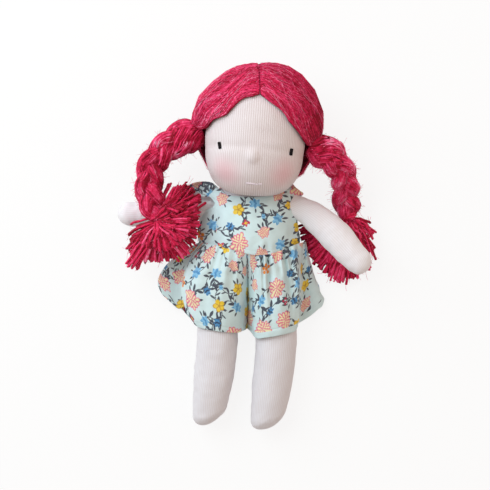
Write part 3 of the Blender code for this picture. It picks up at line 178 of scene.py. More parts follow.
# %% Mesh maker
def make_mesh(name, points, faces, material, body, layout=None, values=None, facing=None):
    """A mesh object from points in millimetres that rides on a body of the frame, if one is named.

    The layout is one flat place for each point. The values are one number or colour for each
    point. The facing is the direction that the light sees at each point, where it is not the
    mesh's own.
    """
    points = np.asarray(points, dtype=float).reshape(-1, 3)
    faces = np.asarray(faces, dtype=np.int32)
    mesh = bpy.data.meshes.new(name)
    mesh.vertices.add(len(points))
    mesh.vertices.foreach_set("co", (points * MM).ravel())
    sides = faces.shape[1]
    mesh.loops.add(faces.size)
    mesh.loops.foreach_set("vertex_index", faces.ravel())
    mesh.polygons.add(len(faces))
    mesh.polygons.foreach_set("loop_start", np.arange(len(faces), dtype=np.int32) * sides)
    mesh.update(calc_edges=True)
    mesh.validate()
    mesh.polygons.foreach_set("use_smooth", np.full(len(mesh.polygons), True))
    if layout is not None:
        flat = np.asarray(layout, dtype=float).reshape(-1, 2)
        layer = mesh.uv_layers.new(name="cloth")
        corner = np.empty(len(mesh.loops), dtype=np.int32)
        mesh.loops.foreach_get("vertex_index", corner)
        layer.data.foreach_set("uv", flat[corner].ravel())
    for key, value in (values or {}).items():
        value = np.asarray(value, dtype=float).reshape(len(points), -1)
        if value.shape[1] == 1:
            numbers = mesh.attributes.new(key, "FLOAT", "POINT")
            numbers.data.foreach_set("value", value.ravel())
        else:
            opaque = np.concatenate([value, np.ones((len(points), 1))], axis=1)
            colours = mesh.attributes.new(key, "FLOAT_COLOR", "POINT")
            colours.data.foreach_set("color", opaque.ravel())
    if facing is not None:
        mesh.normals_split_custom_set_from_vertices(np.asarray(facing).reshape(-1, 3).tolist())
    made = bpy.data.objects.new(name, mesh)
    made.data.materials.append(material)
    bpy.context.scene.collection.objects.link(made)
    if body:
        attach(made, body)
    return made


print("a mesh in Blender is in metres: 1 mm is", MM)


# %% Grids and tubes
def grid_faces(rows, columns, closed=False, flip=False):
    """The quads of a grid whose points are numbered row by row. A closed one joins its sides."""
    row = np.arange(rows - 1)[:, None] * columns
    column = np.arange(columns if closed else columns - 1)[None, :]
    after = (column + 1) % columns
    quads = [row + column, row + after, row + columns + after, row + columns + column]
    faces = np.stack([np.broadcast_to(q, (rows - 1, column.shape[1])) for q in quads], axis=-1)
    faces = faces.reshape(-1, 4)
    return faces[:, ::-1] if flip else faces


def tubes(paths, radii, sides):
    """Points, faces and the share along each tube, for many paths of equally many points.

    Round each point of a path stands a ring: the point, plus the radius times the cosine of an
    angle along one direction across the path, plus its sine along the other.
    """
    paths = np.asarray(paths, dtype=float)
    count, steps = paths.shape[:2]
    radii = np.broadcast_to(radii, (count, steps))
    ahead = unit(np.gradient(paths, axis=1))
    mean = unit(ahead.mean(axis=1))
    spare = np.eye(3)[np.argmin(np.abs(mean), axis=1)][:, None, :]
    side = unit(np.cross(ahead, spare))
    other = np.cross(ahead, side)
    angle = np.linspace(0, 2 * np.pi, sides, endpoint=False)[:, None]
    ring = side[:, :, None] * np.cos(angle) + other[:, :, None] * np.sin(angle)
    points = paths[:, :, None] + ring * radii[:, :, None, None]
    one = grid_faces(steps, sides, closed=True)
    faces = (one[None] + (np.arange(count) * steps * sides)[:, None, None]).reshape(-1, 4)
    share = np.broadcast_to(np.linspace(0, 1, steps)[None, :, None], (count, steps, sides))
    return points.reshape(-1, 3), faces, share.reshape(-1)


def tube_piece(name, paths, radii, sides, material, body, tone=None):
    """One object made of many tubes, each with a tone of its own between 0 and 1."""
    points, faces, share = tubes(paths, radii, sides)
    count = len(paths)
    if tone is None:
        tone = rng.uniform(0, 1, count)
    values = {"tone": np.repeat(tone, len(points) // count), "share": share}
    return make_mesh(name, points, faces, material, body, values=values)


print("a 3 x 4 grid has", len(grid_faces(3, 4)), "faces")

# %% [markdown]
# ## Nodes with short calls
#
# A material is a graph of nodes. It can be wired by hand in Blender's editor; `Shade` wires it by
# calls instead, so that a finish reads like a sum. A plain number sets a socket, and a socket links
# to it.

# %% Node helper
class Shade:
    """A Principled material and the few node calls that the finishes need."""

    def __init__(self, name, roughness, sheen=0.0, sheen_tint=(1.0, 1.0, 1.0)):
        self.material = bpy.data.materials.new(name)
        self.material.use_nodes = True
        self.tree = self.material.node_tree
        self.shader = self.tree.nodes["Principled BSDF"]
        self.set(self.shader.inputs["Roughness"], roughness)
        self.set(self.shader.inputs["Sheen Weight"], sheen)
        self.set(self.shader.inputs["Sheen Roughness"], 0.5)
        self.shader.inputs["Sheen Tint"].default_value = (*sheen_tint, 1.0)
        self.set(self.shader.inputs["Specular IOR Level"], 0.25)

    def set(self, socket, value):
        """Link a socket, or write a number or a colour straight onto it."""
        if isinstance(value, bpy.types.NodeSocket):
            self.tree.links.new(value, socket)
        elif isinstance(value, tuple) and socket.type == "RGBA":
            socket.default_value = (*value, 1.0)
        else:
            socket.default_value = value

    def math(self, operation, first, second=0.0):
        """One sum on numbers."""
        node = self.tree.nodes.new("ShaderNodeMath")
        node.operation = operation
        self.set(node.inputs[0], first)
        self.set(node.inputs[1], second)
        return node.outputs[0]

    def mix(self, share, first, second):
        """The first colour where share is 0 and the second where it is 1."""
        node = self.tree.nodes.new("ShaderNodeMix")
        node.data_type = "RGBA"
        self.set(node.inputs["Factor"], share)
        self.set(node.inputs["A"], first)
        self.set(node.inputs["B"], second)
        return node.outputs["Result"]

    def fade(self, value, low, high, from_share=0.0, to_share=1.0):
        """A soft step of the value between low and high."""
        node = self.tree.nodes.new("ShaderNodeMapRange")
        node.interpolation_type = "SMOOTHSTEP"
        for socket, number in zip(node.inputs, (value, low, high, from_share, to_share)):
            self.set(socket, number)
        return node.outputs[0]

    def value(self, name, part="Fac"):
        """A named value of the mesh."""
        node = self.tree.nodes.new("ShaderNodeAttribute")
        node.attribute_name = name
        return node.outputs[part]

    def place(self):
        """The place on the object, in metres."""
        return self.tree.nodes.new("ShaderNodeTexCoord").outputs["Object"]

    def layout(self):
        """The flat layout of the cloth, in millimetres: across, along, and both as a vector."""
        node = self.tree.nodes.new("ShaderNodeUVMap")
        node.uv_map = "cloth"
        split = self.tree.nodes.new("ShaderNodeSeparateXYZ")
        self.set(split.inputs[0], node.outputs[0])
        return split.outputs[0], split.outputs[1], node.outputs[0]

    def noise(self, vector, scale, detail=2.0):
        """Soft noise around one half."""
        node = self.tree.nodes.new("ShaderNodeTexNoise")
        self.set(node.inputs["Vector"], vector)
        self.set(node.inputs["Scale"], scale)
        self.set(node.inputs["Detail"], detail)
        return node.outputs["Fac"]

    def near(self, centre, reach):
        """One at a place in metres, falling to zero at reach from it."""
        node = self.tree.nodes.new("ShaderNodeVectorMath")
        node.operation = "DISTANCE"
        self.set(node.inputs[0], self.place())
        node.inputs[1].default_value = centre
        return self.fade(node.outputs["Value"], 0.0, reach, 1.0, 0.0)

    def bump(self, height, strength, distance):
        """Tilt the shading as if the height, times a distance in metres, stood on the surface."""
        node = self.tree.nodes.new("ShaderNodeBump")
        self.set(node.inputs["Strength"], strength)
        self.set(node.inputs["Distance"], distance)
        self.set(node.inputs["Height"], height)
        self.set(self.shader.inputs["Normal"], node.outputs[0])

    def colour(self, value):
        """Give the shader its colour and hand back the finished material."""
        self.set(self.shader.inputs["Base Color"], value)
        return self.material


print("Shade has", len([name for name in vars(Shade) if name[0] != "_"]), "short calls")

# %% [markdown]
# ## Doll knit
#
# The skin of the real doll is a cotton knit with fine ribs that run from chin to crown and along
# the limbs. Ribs could be modelled, but there are hundreds of them and each is a third of a
# millimetre deep, so they are drawn by the material, from the flat layout in millimetres: a cosine
# across gives the ribs, and a slanting cosine along gives the loops in them. The hollows between
# the ribs are painted darker, as painted shade. The cheeks get a blush that fades with the distance
# from two places on the face.

# %% Knit
RIB = 1.42  # from rib to rib, in mm of the layout
STITCH = 1.15  # from loop to loop
KNIT_DEPTH = 0.0003  # in metres
# The groove colours are painted shade for the hollows between the ribs; a faint random mottle leans
# towards them too.
FACE_LIGHT, FACE_GROOVE_SHADE = (0.81, 0.755, 0.775), (0.66, 0.585, 0.585)
LIMB_LIGHT, LIMB_GROOVE_SHADE = (0.76, 0.755, 0.80), (0.70, 0.675, 0.70)
ARM_LIGHT, ARM_GROOVE_SHADE = (0.845, 0.835, 0.87), (0.79, 0.77, 0.795)
BLUSH, BLUSH_REACH, BLUSH_STRENGTH = (0.82, 0.40, 0.46), 0.0165, 0.5
CHEEKS = ((-17.8, 32.5, 62.0), (21.0, 31.0, 62.0))


def knit_material(name, light, groove, blushing=False, relief=0.45):
    """Ribs run along the cloth: 0.5 + 0.5 cos of the way across. The loops in them slant up."""
    shade = Shade(name, 0.85, sheen=0.12)
    across, along, flat = shade.layout()
    turn = shade.math("MULTIPLY", across, 2 * math.pi / RIB)
    rib = shade.math("MULTIPLY_ADD", shade.math("COSINE", turn), 0.5)
    rib.node.inputs[2].default_value = 0.5
    slant = shade.math("ABSOLUTE", shade.math("SINE", shade.math("MULTIPLY", turn, 0.5)))
    rise = shade.math("ADD", shade.math("DIVIDE", along, STITCH), shade.math("MULTIPLY", slant, 0.6))
    loop = shade.math("COSINE", shade.math("MULTIPLY", rise, 2 * math.pi))
    height = shade.math("ADD", rib, shade.math("MULTIPLY", loop, 0.22))
    shade.bump(height, relief, KNIT_DEPTH)
    mottle = shade.noise(flat, 0.09, 3.0)
    # Painted shade: the hollows between ribs take the darker groove colour; the mottle below is random.
    ground = shade.mix(shade.fade(rib, 0.0, 0.75), groove, light)
    ground = shade.mix(shade.fade(mottle, 0.35, 0.75, 0.0, 0.15), ground, groove)
    if blushing:
        for cheek in CHEEKS:
            centre = tuple(value * MM for value in cheek)
            amount = shade.math("MULTIPLY", shade.near(centre, BLUSH_REACH), BLUSH_STRENGTH)
            ground = shade.mix(amount, ground, BLUSH)
    return shade.colour(ground)


face_knit = knit_material("knit of the face", FACE_LIGHT, FACE_GROOVE_SHADE, blushing=True)
limb_knit = knit_material("knit of the legs", LIMB_LIGHT, LIMB_GROOVE_SHADE, relief=0.34)
arm_knit = knit_material("knit of the arms", ARM_LIGHT, ARM_GROOVE_SHADE, relief=0.22)
print("ribs round the head:", round(2 * math.pi * 34.3 / RIB))

# %% [markdown]
# ## Mohair and plain threads
#
# Mohair yarn is a twist of shiny fibres, so close by it is a mix of deep, middle and pale crimson
# with a few glints. Each strand of the model has a tone of its own, a number that is kept in the
# mesh. The material adds noise to it and looks the sum up in four colours. One flat colour would
# make the hair a single red shape. Threads, wool and tape get one colour with a fine grain.

# %% Yarn
YARN_DEEP = (0.30, 0.001, 0.016)
YARN_MID = (0.70, 0.010, 0.078)
YARN_LIGHT = (0.95, 0.085, 0.245)
YARN_GLINT = (0.98, 0.38, 0.56)


def yarn_material(name, lift=0.0):
    """Each thread has a tone; noise along it makes it lighter and darker as fibres do."""
    shade = Shade(name, 0.75, sheen=0.16, sheen_tint=(1.0, 0.30, 0.50))
    grain = shade.noise(shade.place(), 520.0, 4.0)
    fleck = shade.math("MULTIPLY", shade.math("SUBTRACT", grain, 0.5), 1.15)
    tone = shade.math("ADD", shade.value("tone"), shade.math("ADD", fleck, lift))
    base = shade.mix(shade.fade(tone, 0.05, 0.6), YARN_DEEP, YARN_MID)
    base = shade.mix(shade.fade(tone, 0.5, 1.1), base, YARN_LIGHT)
    base = shade.mix(shade.fade(tone, 1.0, 1.4), base, YARN_GLINT)
    shade.bump(grain, 0.3, 0.0004)
    return shade.colour(base)


hair_yarn = yarn_material("crimson mohair yarn")
# Painted shade: the cap under the locks gets this yarn, whose tone is lowered.
painted_shade_yarn = yarn_material("mohair yarn with painted shade", lift=-0.22)
fuzz_yarn = yarn_material("mohair fuzz", lift=0.35)
print("yarns:", hair_yarn.name, "and two more")


# %% Threads, wool and tape
def plain_material(name, colour, roughness=0.8, grain_scale=900.0, sheen=0.2):
    """Thread, wool or tape: one colour with a fine grain."""
    shade = Shade(name, roughness, sheen=sheen)
    grain = shade.noise(shade.place(), grain_scale, 3.0)
    darker = tuple(0.72 * part for part in colour)
    shade.bump(grain, 0.4, 0.0003)
    return shade.colour(shade.mix(shade.fade(grain, 0.3, 0.7), darker, colour))


eye_thread = plain_material("eye embroidery", (0.006, 0.003, 0.004), 0.9, sheen=0.0)
mouth_thread = plain_material("mouth embroidery", (0.88, 0.79, 0.86), 0.45)
wool_fill = plain_material("carded wool", (0.78, 0.74, 0.64), 0.95, 500.0)
white_thread = plain_material("white thread", (0.78, 0.78, 0.76), 0.6)
white_tape = plain_material("closure tape", (0.80, 0.80, 0.78), 0.7, 1500.0)
print(len(bpy.data.materials), "materials")

# %% [markdown]
# ## Head
#
# The real head is a ball of wool tied off under a tube of knit. It could be sculpted from a
# sphere, but a formula keeps its outline exact and gives the knit a clean layout. The ball fills
# out towards the chin: across the cheeks its outline is $|x|^p + |y|^p = 1$ with $p$ near 2.8, and
# it is a plain ellipse at the crown and at the back. A soft bump makes the nose, and a shallow dent
# follows the thread that ties the eye line.

# %% Head surface
HEAD = np.array([2.3, 58.8, 40.0])
HEAD_HALF = np.array([34.3, 41.3, 33.0])
HEAD_LEAN = 3.5  # degrees
HEAD_POLE = 0.0003  # how near the rows come to chin and crown, in radians
CHEEK_POWER = 0.85


def head_grid(rows=170, columns=230):
    """Rows run from the chin to the crown, and columns round the head from its left side.

    A point is the centre, plus the half sizes times cos(height)^(2/p) cos(turn), sin(height)^(2/p)
    and cos(height)^(2/p) sin(turn).
    """
    height = np.linspace(-math.pi / 2 + HEAD_POLE, math.pi / 2 - HEAD_POLE, rows)[:, None]
    turn = np.linspace(0, 2 * np.pi, columns, endpoint=False)[None, :]
    front = step(-0.65, -0.1, np.sin(turn))
    power = 2.0 + CHEEK_POWER * front * (1.0 - step(-0.5, 0.25, np.sin(height)))
    reach = np.cos(height) ** (2 / power)
    rise = np.sign(np.sin(height)) * np.abs(np.sin(height)) ** (2 / power)
    return np.stack(
        [
            HEAD[0] + HEAD_HALF[0] * reach * np.cos(turn),
            HEAD[1] + HEAD_HALF[1] * rise,
            HEAD[2] + HEAD_HALF[2] * reach * np.sin(turn),
        ],
        axis=-1,
    )


def grid_normals(points):
    """Directions that look out of a closed grid: along its rows crossed with along its columns."""
    around = np.roll(points, -1, axis=1) - np.roll(points, 1, axis=1)
    along = np.gradient(points, axis=0)
    normal = unit(np.cross(around, along))
    middle = points.mean(axis=(0, 1))
    if (normal * (points - middle)).sum() < 0:
        normal = -normal
    return normal


print("head, half sizes in mm:", HEAD_HALF)

# %% Relief of the face
NOSE, NOSE_HEIGHT, NOSE_SPREAD = (0.1, 42.6), 2.1, 2.8
EYE_LINE, EYE_TILT, EYE_DENT = 47.9, math.tan(math.radians(5.2)), 0.75


def face_relief(points):
    """How far the face stands out from the ball: the nose's bell, the eye line's dent, and the
    low swell of the cheeks under it."""
    x, y, z = points[..., 0], points[..., 1], points[..., 2]
    front = step(45.0, 60.0, z)
    apart = (x - NOSE[0]) ** 2 + ((y - NOSE[1]) * 0.92) ** 2
    nose = NOSE_HEIGHT * np.exp(-((apart / (2 * NOSE_SPREAD**2)) ** 1.3))
    line = y - (EYE_LINE - EYE_TILT * (x - HEAD[0]))
    dent = EYE_DENT * np.exp(-((line / 2.6) ** 2)) * (1 - np.exp(-apart / 60.0))
    bridge = 0.4 * np.exp(-((line + 6.0) / 7.0) ** 2)
    return (nose - dent + bridge) * front + 0.18 * lumps(points, 16.0, 3)


def tilted(points):
    """The head leans a little towards its right shoulder, about its own centre."""
    lean = math.radians(HEAD_LEAN)
    x, y = points[..., 0] - HEAD[0], points[..., 1] - HEAD[1]
    turned_x = x * math.cos(lean) + y * math.sin(lean)
    turned_y = y * math.cos(lean) - x * math.sin(lean)
    return np.stack([HEAD[0] + turned_x, HEAD[1] + turned_y, points[..., 2]], axis=-1)


print("nose:", NOSE_HEIGHT, "mm high")

# %% [markdown]
# The knit is stretched over the face, so that its ribs run straight up the picture there. The
# layout across is therefore the arcsine of the way sideways in front, and fades into the plain
# turn round the head at its sides and back. The layout along is the length of the middle line.

# %% Head
head_points = head_grid()
rows, columns = head_points.shape[:2]
offset_x, offset_z = head_points[..., 0] - HEAD[0], head_points[..., 2] - HEAD[2]
straight = np.arcsin(np.clip(offset_x / (HEAD_HALF[0] + 1.5), -1, 1))
ahead = step(0.1, 0.5, offset_z / np.hypot(offset_x, offset_z))
turned = ahead * straight + (1 - ahead) * np.arctan2(offset_x, offset_z)
head_points = tilted(head_points)
head_points = head_points + grid_normals(head_points) * face_relief(head_points)[..., None]
meridian = lengths_along(head_points[:, columns // 4])
head_layout = np.stack(
    [turned * HEAD_HALF[0], np.broadcast_to(meridian[:, None], (rows, columns))], axis=-1
)
head = make_mesh(
    "head_knit",
    head_points,
    grid_faces(rows, columns, closed=True, flip=True),
    face_knit,
    "head",
    layout=head_layout,
)
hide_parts("head_skin")
print("head:", len(head.data.vertices), "points")

# %% [markdown]
# ## Wool inside
#
# Head, body and limbs are stuffed with carded wool, which never shows. Thousands of hairs inside a
# closed skin would be wasted, so the wool is one closed surface a little inside the skin: every
# third point of it, drawn inwards along its direction, with a fleecy unevenness.

# %% Wool cores
WOOL_INSET, FLEECE = 1.6, 0.3


def wool_core(name, node, body, points, seed, flip=False):
    """Carded wool that fills a skin: the skin's own surface drawn inwards and a little uneven."""
    coarse = points[::3, ::3]
    inset = WOOL_INSET + FLEECE * lumps(coarse, 5.0, seed)
    inner = coarse - grid_normals(coarse) * inset[..., None]
    faces = grid_faces(*inner.shape[:2], closed=True, flip=flip)
    piece = make_mesh(name, inner, faces, wool_fill, body)
    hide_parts(node)
    return piece


head_core = wool_core("head_fleece", "head_wool", "head", head_points, 31, flip=True)
print("wool of the head:", len(head_core.data.vertices), "points")

# %% [markdown]
# ## Stitched face
#
# Eyes and mouth are a few stitches of embroidery thread. They could be painted on, but thread
# stands off the knit and catches light, so each stitch is a thin tube. Its line is drawn in the
# picture and laid on the face: the height at a pixel is the weighted mean of the heights of the
# nearest points of the head.

# %% Laying a line on the face
face_points = head_points[head_points[..., 2] > 45.0]


def on_face(px, py):
    """The place on the face behind a pixel: the level is the mean of the nearest points, each
    weighted by one over its distance."""
    px, py = np.atleast_1d(px).astype(float), np.atleast_1d(py).astype(float)
    level = np.full(px.shape, 65.0)
    for _ in range(5):
        spot = on_photo(px, py, level)
        offset = spot[:, None, :2] - face_points[:, :2]
        far = np.hypot(offset[..., 0], offset[..., 1])
        near = np.argsort(far, axis=1)[:, :6]
        weight = 1.0 / (np.take_along_axis(far, near, axis=1) + 0.05)
        level = (face_points[near, 2] * weight).sum(axis=1) / weight.sum(axis=1)
    return on_photo(px, py, level)


print("the nose is at a height of", on_face(253, 158)[0, 2].round(1), "mm")

# %% Eyes
EYES = {"right": (219.7, 145.5, 9.0), "left": (291.2, 152.0, -9.0)}  # pixel and lean in degrees
EYE_THREAD, EYE_HALF = 0.36, 3.6
for side, (px, py, lean) in EYES.items():
    share = np.linspace(-1, 1, 9)
    slant = math.radians(lean)
    threads = []
    for offset in (-1.2, -0.6, 0.0, 0.6, 1.2):
        length = EYE_HALF - 0.25 * abs(offset) + 0.12 * math.sin(7 * offset)
        x = px + offset * math.cos(slant) + share * length * math.sin(slant)
        y = py - offset * math.sin(slant) + share * length * math.cos(slant)
        line = on_face(x, y)
        line[:, 2] += 0.22 - 0.35 * np.abs(share) ** 6
        threads.append(line)
    eye = tube_piece("eye_stitches_" + side, threads, EYE_THREAD, 8, eye_thread, "head")
    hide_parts("eye_" + side)
print("eyes at", {side: values[:2] for side, values in EYES.items()})

# %% Mouth
MOUTH_LEFT, MOUTH_WIDTH, MOUTH_Y = 246.3, 15.9, 182.5
mouth_x = np.linspace(MOUTH_LEFT, 262.2, 15)
mouth_sag = 0.75 * np.sin(np.pi * (mouth_x - MOUTH_LEFT) / MOUTH_WIDTH)
mouth_lines = []
for lower in (0.0, 0.62):
    line = on_face(mouth_x, MOUTH_Y + lower + (mouth_x - MOUTH_LEFT) * 0.075 + mouth_sag)
    line[:, 2] += 0.16
    mouth_lines.append(line)
mouth_radii = np.linspace(0.46, 0.26, 15)[None]
mouth = tube_piece("mouth_thread", mouth_lines, mouth_radii, 8, mouth_thread, "head")
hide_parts("mouth_stitch")
print("mouth:", len(mouth_lines), "stitches")

# %% [markdown]
# ## Limbs
#
# Arms and legs are stuffed tubes of knit, sewn shut at the end. A skinned or a metaball limb would
# give a soft form too, but here the outline has to follow the picture, so each limb is an ellipse
# carried along a centre line, with a half width at every station. It closes in a rounded, slanted
# end, soft dents show the wool inside, and underneath the floor presses it flat.

# %% Limb surfaces
CAP_ROWS = 36
CAP_POLE = 0.003  # how near the rows come to the tip, in radians


def limb_grid(centre, half_width, flatness, slant, rows=150, columns=84, end=9.0):
    """Ellipses across a centre line: the last stretch closes as a quarter of an ellipse.

    A point is the centre line's, plus cos(turn) half widths to the side, plus sin(turn) half widths
    times the flatness to the front, plus a lean along the line that grows towards the end.
    """
    centre = np.asarray(centre, dtype=float)
    run = lengths_along(centre)
    total = run[-1]
    body = np.linspace(0.0, total - end, rows - CAP_ROWS, endpoint=False)
    cap = np.linspace(0.0, math.pi / 2 - CAP_POLE, CAP_ROWS)
    at = np.concatenate([body, total - end + end * np.sin(cap)])
    shrink = np.concatenate([np.ones(len(body)), np.cos(cap) ** 0.85])
    half = through(np.linspace(0, 1, len(half_width)) * total, half_width, at) * shrink
    middle = through(run, centre, at)
    ahead = unit(np.gradient(middle, axis=0))
    side = unit(np.cross(ahead, (0.0, 0.0, 1.0)))
    front = np.cross(side, ahead)
    turn = np.linspace(0, 2 * np.pi, columns, endpoint=False)
    across = half[:, None] * np.cos(turn)
    up = half[:, None] * np.sin(turn) * flatness
    lean = slant * step(0.55 * total, total, at)[:, None] * across
    points = (
        middle[:, None]
        + side[:, None] * across[..., None]
        + front[:, None] * up[..., None]
        + ahead[:, None] * lean[..., None]
    )
    round_it = np.broadcast_to(turn * np.mean(half_width), across.shape)
    return points, np.stack([round_it, np.broadcast_to(at[:, None], across.shape)], axis=-1)


def limb_piece(body, centre, half_width, knit, seed, flatness=0.97, slant=0.0, floor=None):
    """A stuffed limb with soft dents, flattened where it lies on the floor, and its wool."""
    points, layout = limb_grid(centre, half_width, flatness, slant)
    dents = 0.28 * lumps(points * (1.0, 0.55, 1.0), 14.0, seed)
    dents = dents + 0.12 * lumps(points, 6.0, seed + 1)
    points = points + grid_normals(points) * dents[..., None]
    if floor is not None:
        points[..., 2] = np.maximum(points[..., 2], floor)
    faces = grid_faces(*points.shape[:2], closed=True)
    piece = make_mesh(body + "_knit", points, faces, knit, body, layout=layout)
    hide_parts(body + "_skin")
    wool_core(body + "_fleece", body + "_wool", body, points, seed + 40)
    return piece


print("the last", CAP_ROWS, "rows of a limb round its end")

# %% Legs
LEG_HALF = (14.2, 14.4, 14.5, 14.1, 13.1, 10.9)
FOOT_SLANT = 0.46
LEG_FLOOR = 0.05
leg_right_line = [
    (-24.2, -50.0, 17.4), (-25.0, -90.0, 14.2), (-27.8, -114.0, 13.0), (-30.6, -142.9, 11.0),
]
leg_left_line = [(17.3, -50.0, 17.4), (17.0, -90.0, 14.6), (14.0, -118.0, 13.4), (10.6, -146.1, 11.2)]
legs = [
    limb_piece("leg_right", leg_right_line, LEG_HALF, limb_knit, 5, slant=FOOT_SLANT, floor=LEG_FLOOR),
    limb_piece("leg_left", leg_left_line, LEG_HALF, limb_knit, 8, slant=FOOT_SLANT, floor=LEG_FLOOR),
]
print("legs:", [len(piece.data.vertices) for piece in legs], "points")

# %% Arms
ARM_RIGHT_HALF = (7.2, 8.3, 8.3, 8.7, 9.0, 8.9, 8.0)
ARM_LEFT_HALF = (8.2, 8.9, 10.3, 11.0, 10.8, 9.6, 8.4)
arm_right_line = [
    (-19.0, 11.4, 10.8), (-27.0, 10.8, 9.9), (-50.0, 9.4, 9.7), (-75.0, 6.6, 9.4),
    (-95.4, 5.2, 9.2),
]
# The left arm lies on its tassel: pixels of the picture and a height at each.
arm_left_track = [
    (291.0, 204.0, 20.5), (299.5, 208.0, 21.6), (311.5, 214.8, 23.8), (323.5, 224.3, 26.4),
    (335.3, 235.6, 29.0), (347.0, 248.8, 31.6), (357.0, 260.5, 33.6), (364.0, 272.5, 34.8),
]
arm_left_line = on_photo(*np.array(arm_left_track).T)
arms = [
    limb_piece("arm_right", arm_right_line, ARM_RIGHT_HALF, arm_knit, 12, floor=0.4),
    limb_piece("arm_left", arm_left_line, ARM_LEFT_HALF, arm_knit, 15, flatness=0.82),
]
print("arms:", [len(piece.data.vertices) for piece in arms], "points")

# %% [markdown]
# ## Hair
#
# The real hair is lengths of mohair yarn sewn down along a parting and combed from there to a
# bunch at each side. Blender's hair particles could be groomed by hand, but the export keeps only
# meshes, and a formula puts each strand where the picture has it. A lock starts in the direction
# $A(s)$ on the parting arc, where $s$ runs from the hairline to the nape, and ends in the
# direction $B$ of the bunch. Between them it follows a quadratic curve
# $d(t) = (1-t)^2 A + 2t(1-t) M + t^2 B$, and the middle point $M$ is pulled forward near the
# hairline so that the hair frames the face.

# %% The form of the hair
HAIR = np.array([3.2, 64.0, 40.0])
HAIR_HALF = np.array([44.5, 44.9, 40.0])
SCALP_GROW = 1.4  # how far the roots stand off the head, in mm
ARC_FROM, ARC_TO = math.radians(36.0), math.radians(238.0)  # the parting, from hairline to nape
# The end and the bias are directions; the bunch is a place; the hairline is drawn in the picture.
HAIR_SIDES = {
    "right": {
        "end": unit(np.array([-1.0, -0.12, -0.05])),
        "bunch": (-41.5, 59.0, 38.0),
        "pull": 0.25,
        "bias": (0.0, -0.25, 0.15),
        "hairline": [
            (259.5, 93.0), (252, 95.6), (244.5, 97.0), (238, 101), (231.5, 107.6), (226, 114),
            (219.5, 117), (213.5, 119.5), (209, 124.5), (206, 130), (204.6, 136),
        ],
    },
    "left": {
        "end": unit(np.array([0.944, -0.33, 0.0])),
        "bunch": (44.5, 50.0, 39.5),
        "pull": 0.4,
        "bias": (0.0, -0.35, 0.07),
        "hairline": [
            (260.5, 93.0), (266.5, 98.2), (272, 102.6), (279, 107.6), (285, 113.4), (289, 120.5),
            (295, 127), (300.5, 134.5), (304.8, 142), (308, 148), (313, 153),
        ],
    },
}
HAIRLINE_RISE = 2.0
PARTING_SHIFT = 0.03


def scalp_reach(direction):
    """The share of the hair form at which a direction leaves the head: a quadratic in the share."""
    half = HEAD_HALF + SCALP_GROW
    run = direction * HAIR_HALF / half
    offset = (HAIR - HEAD) / half
    a = (run * run).sum(-1)
    b = (run * offset).sum(-1)
    c = (offset * offset).sum(-1) - 1.0
    return (-b + np.sqrt(np.maximum(b * b - a * c, 0.0))) / a


def hairline_directions(side):
    """Directions, from the hair's centre, of the drawn hairline laid on the head."""
    px, py = np.array(HAIR_SIDES[side]["hairline"]).T
    level = np.full(px.shape, 60.0)
    for _ in range(12):
        spot = on_photo(px, py, level)
        share = ((spot[:, :2] - HEAD[:2]) / (HEAD_HALF[:2] + HAIRLINE_RISE)) ** 2
        height = np.sqrt(np.maximum(1 - share.sum(axis=1), 0.0))
        level = HEAD[2] + (HEAD_HALF[2] + HAIRLINE_RISE) * height
    return unit((on_photo(px, py, level) - HAIR) / HAIR_HALF)


def combed(data, s, t):
    """The plain combing direction from the parting to the bunch."""
    angle = ARC_FROM + (ARC_TO - ARC_FROM) * s
    arc = np.stack([np.full_like(angle, PARTING_SHIFT), np.sin(angle), np.cos(angle)], axis=-1)
    start = unit(arc)
    forward = np.array(data["bias"]) * ((1.0 - s) ** 3)[..., None]
    middle = start + data["pull"] * data["end"] + forward
    t = t[..., None]
    return unit((1 - t) ** 2 * start + 2 * t * (1 - t) * middle + t**2 * data["end"])


print("scalp reach at the crown", np.round(scalp_reach(np.array([0.0, 1.0, 0.0])), 3))

# %% [markdown]
# The hair is not one ellipsoid. It lies thin over the forehead, drops at the crown and over the
# right temple, swells over the left one, falls into a groove at the parting and runs together at
# the bunch. Each of these is a bell or a step that is added to the form, so each can be moved or
# turned down by one number.

# %% Places in the hair
BUNCH_SPREAD = 7.5
CROWN_DROP, TEMPLE_DROP, CREST_RISE, FRONT_THIN = 0.058, 0.065, 0.025, 0.1
EDGE_THIN = 0.12  # how full the hair is at its front edge
FLOOR_LIFT = 0.7


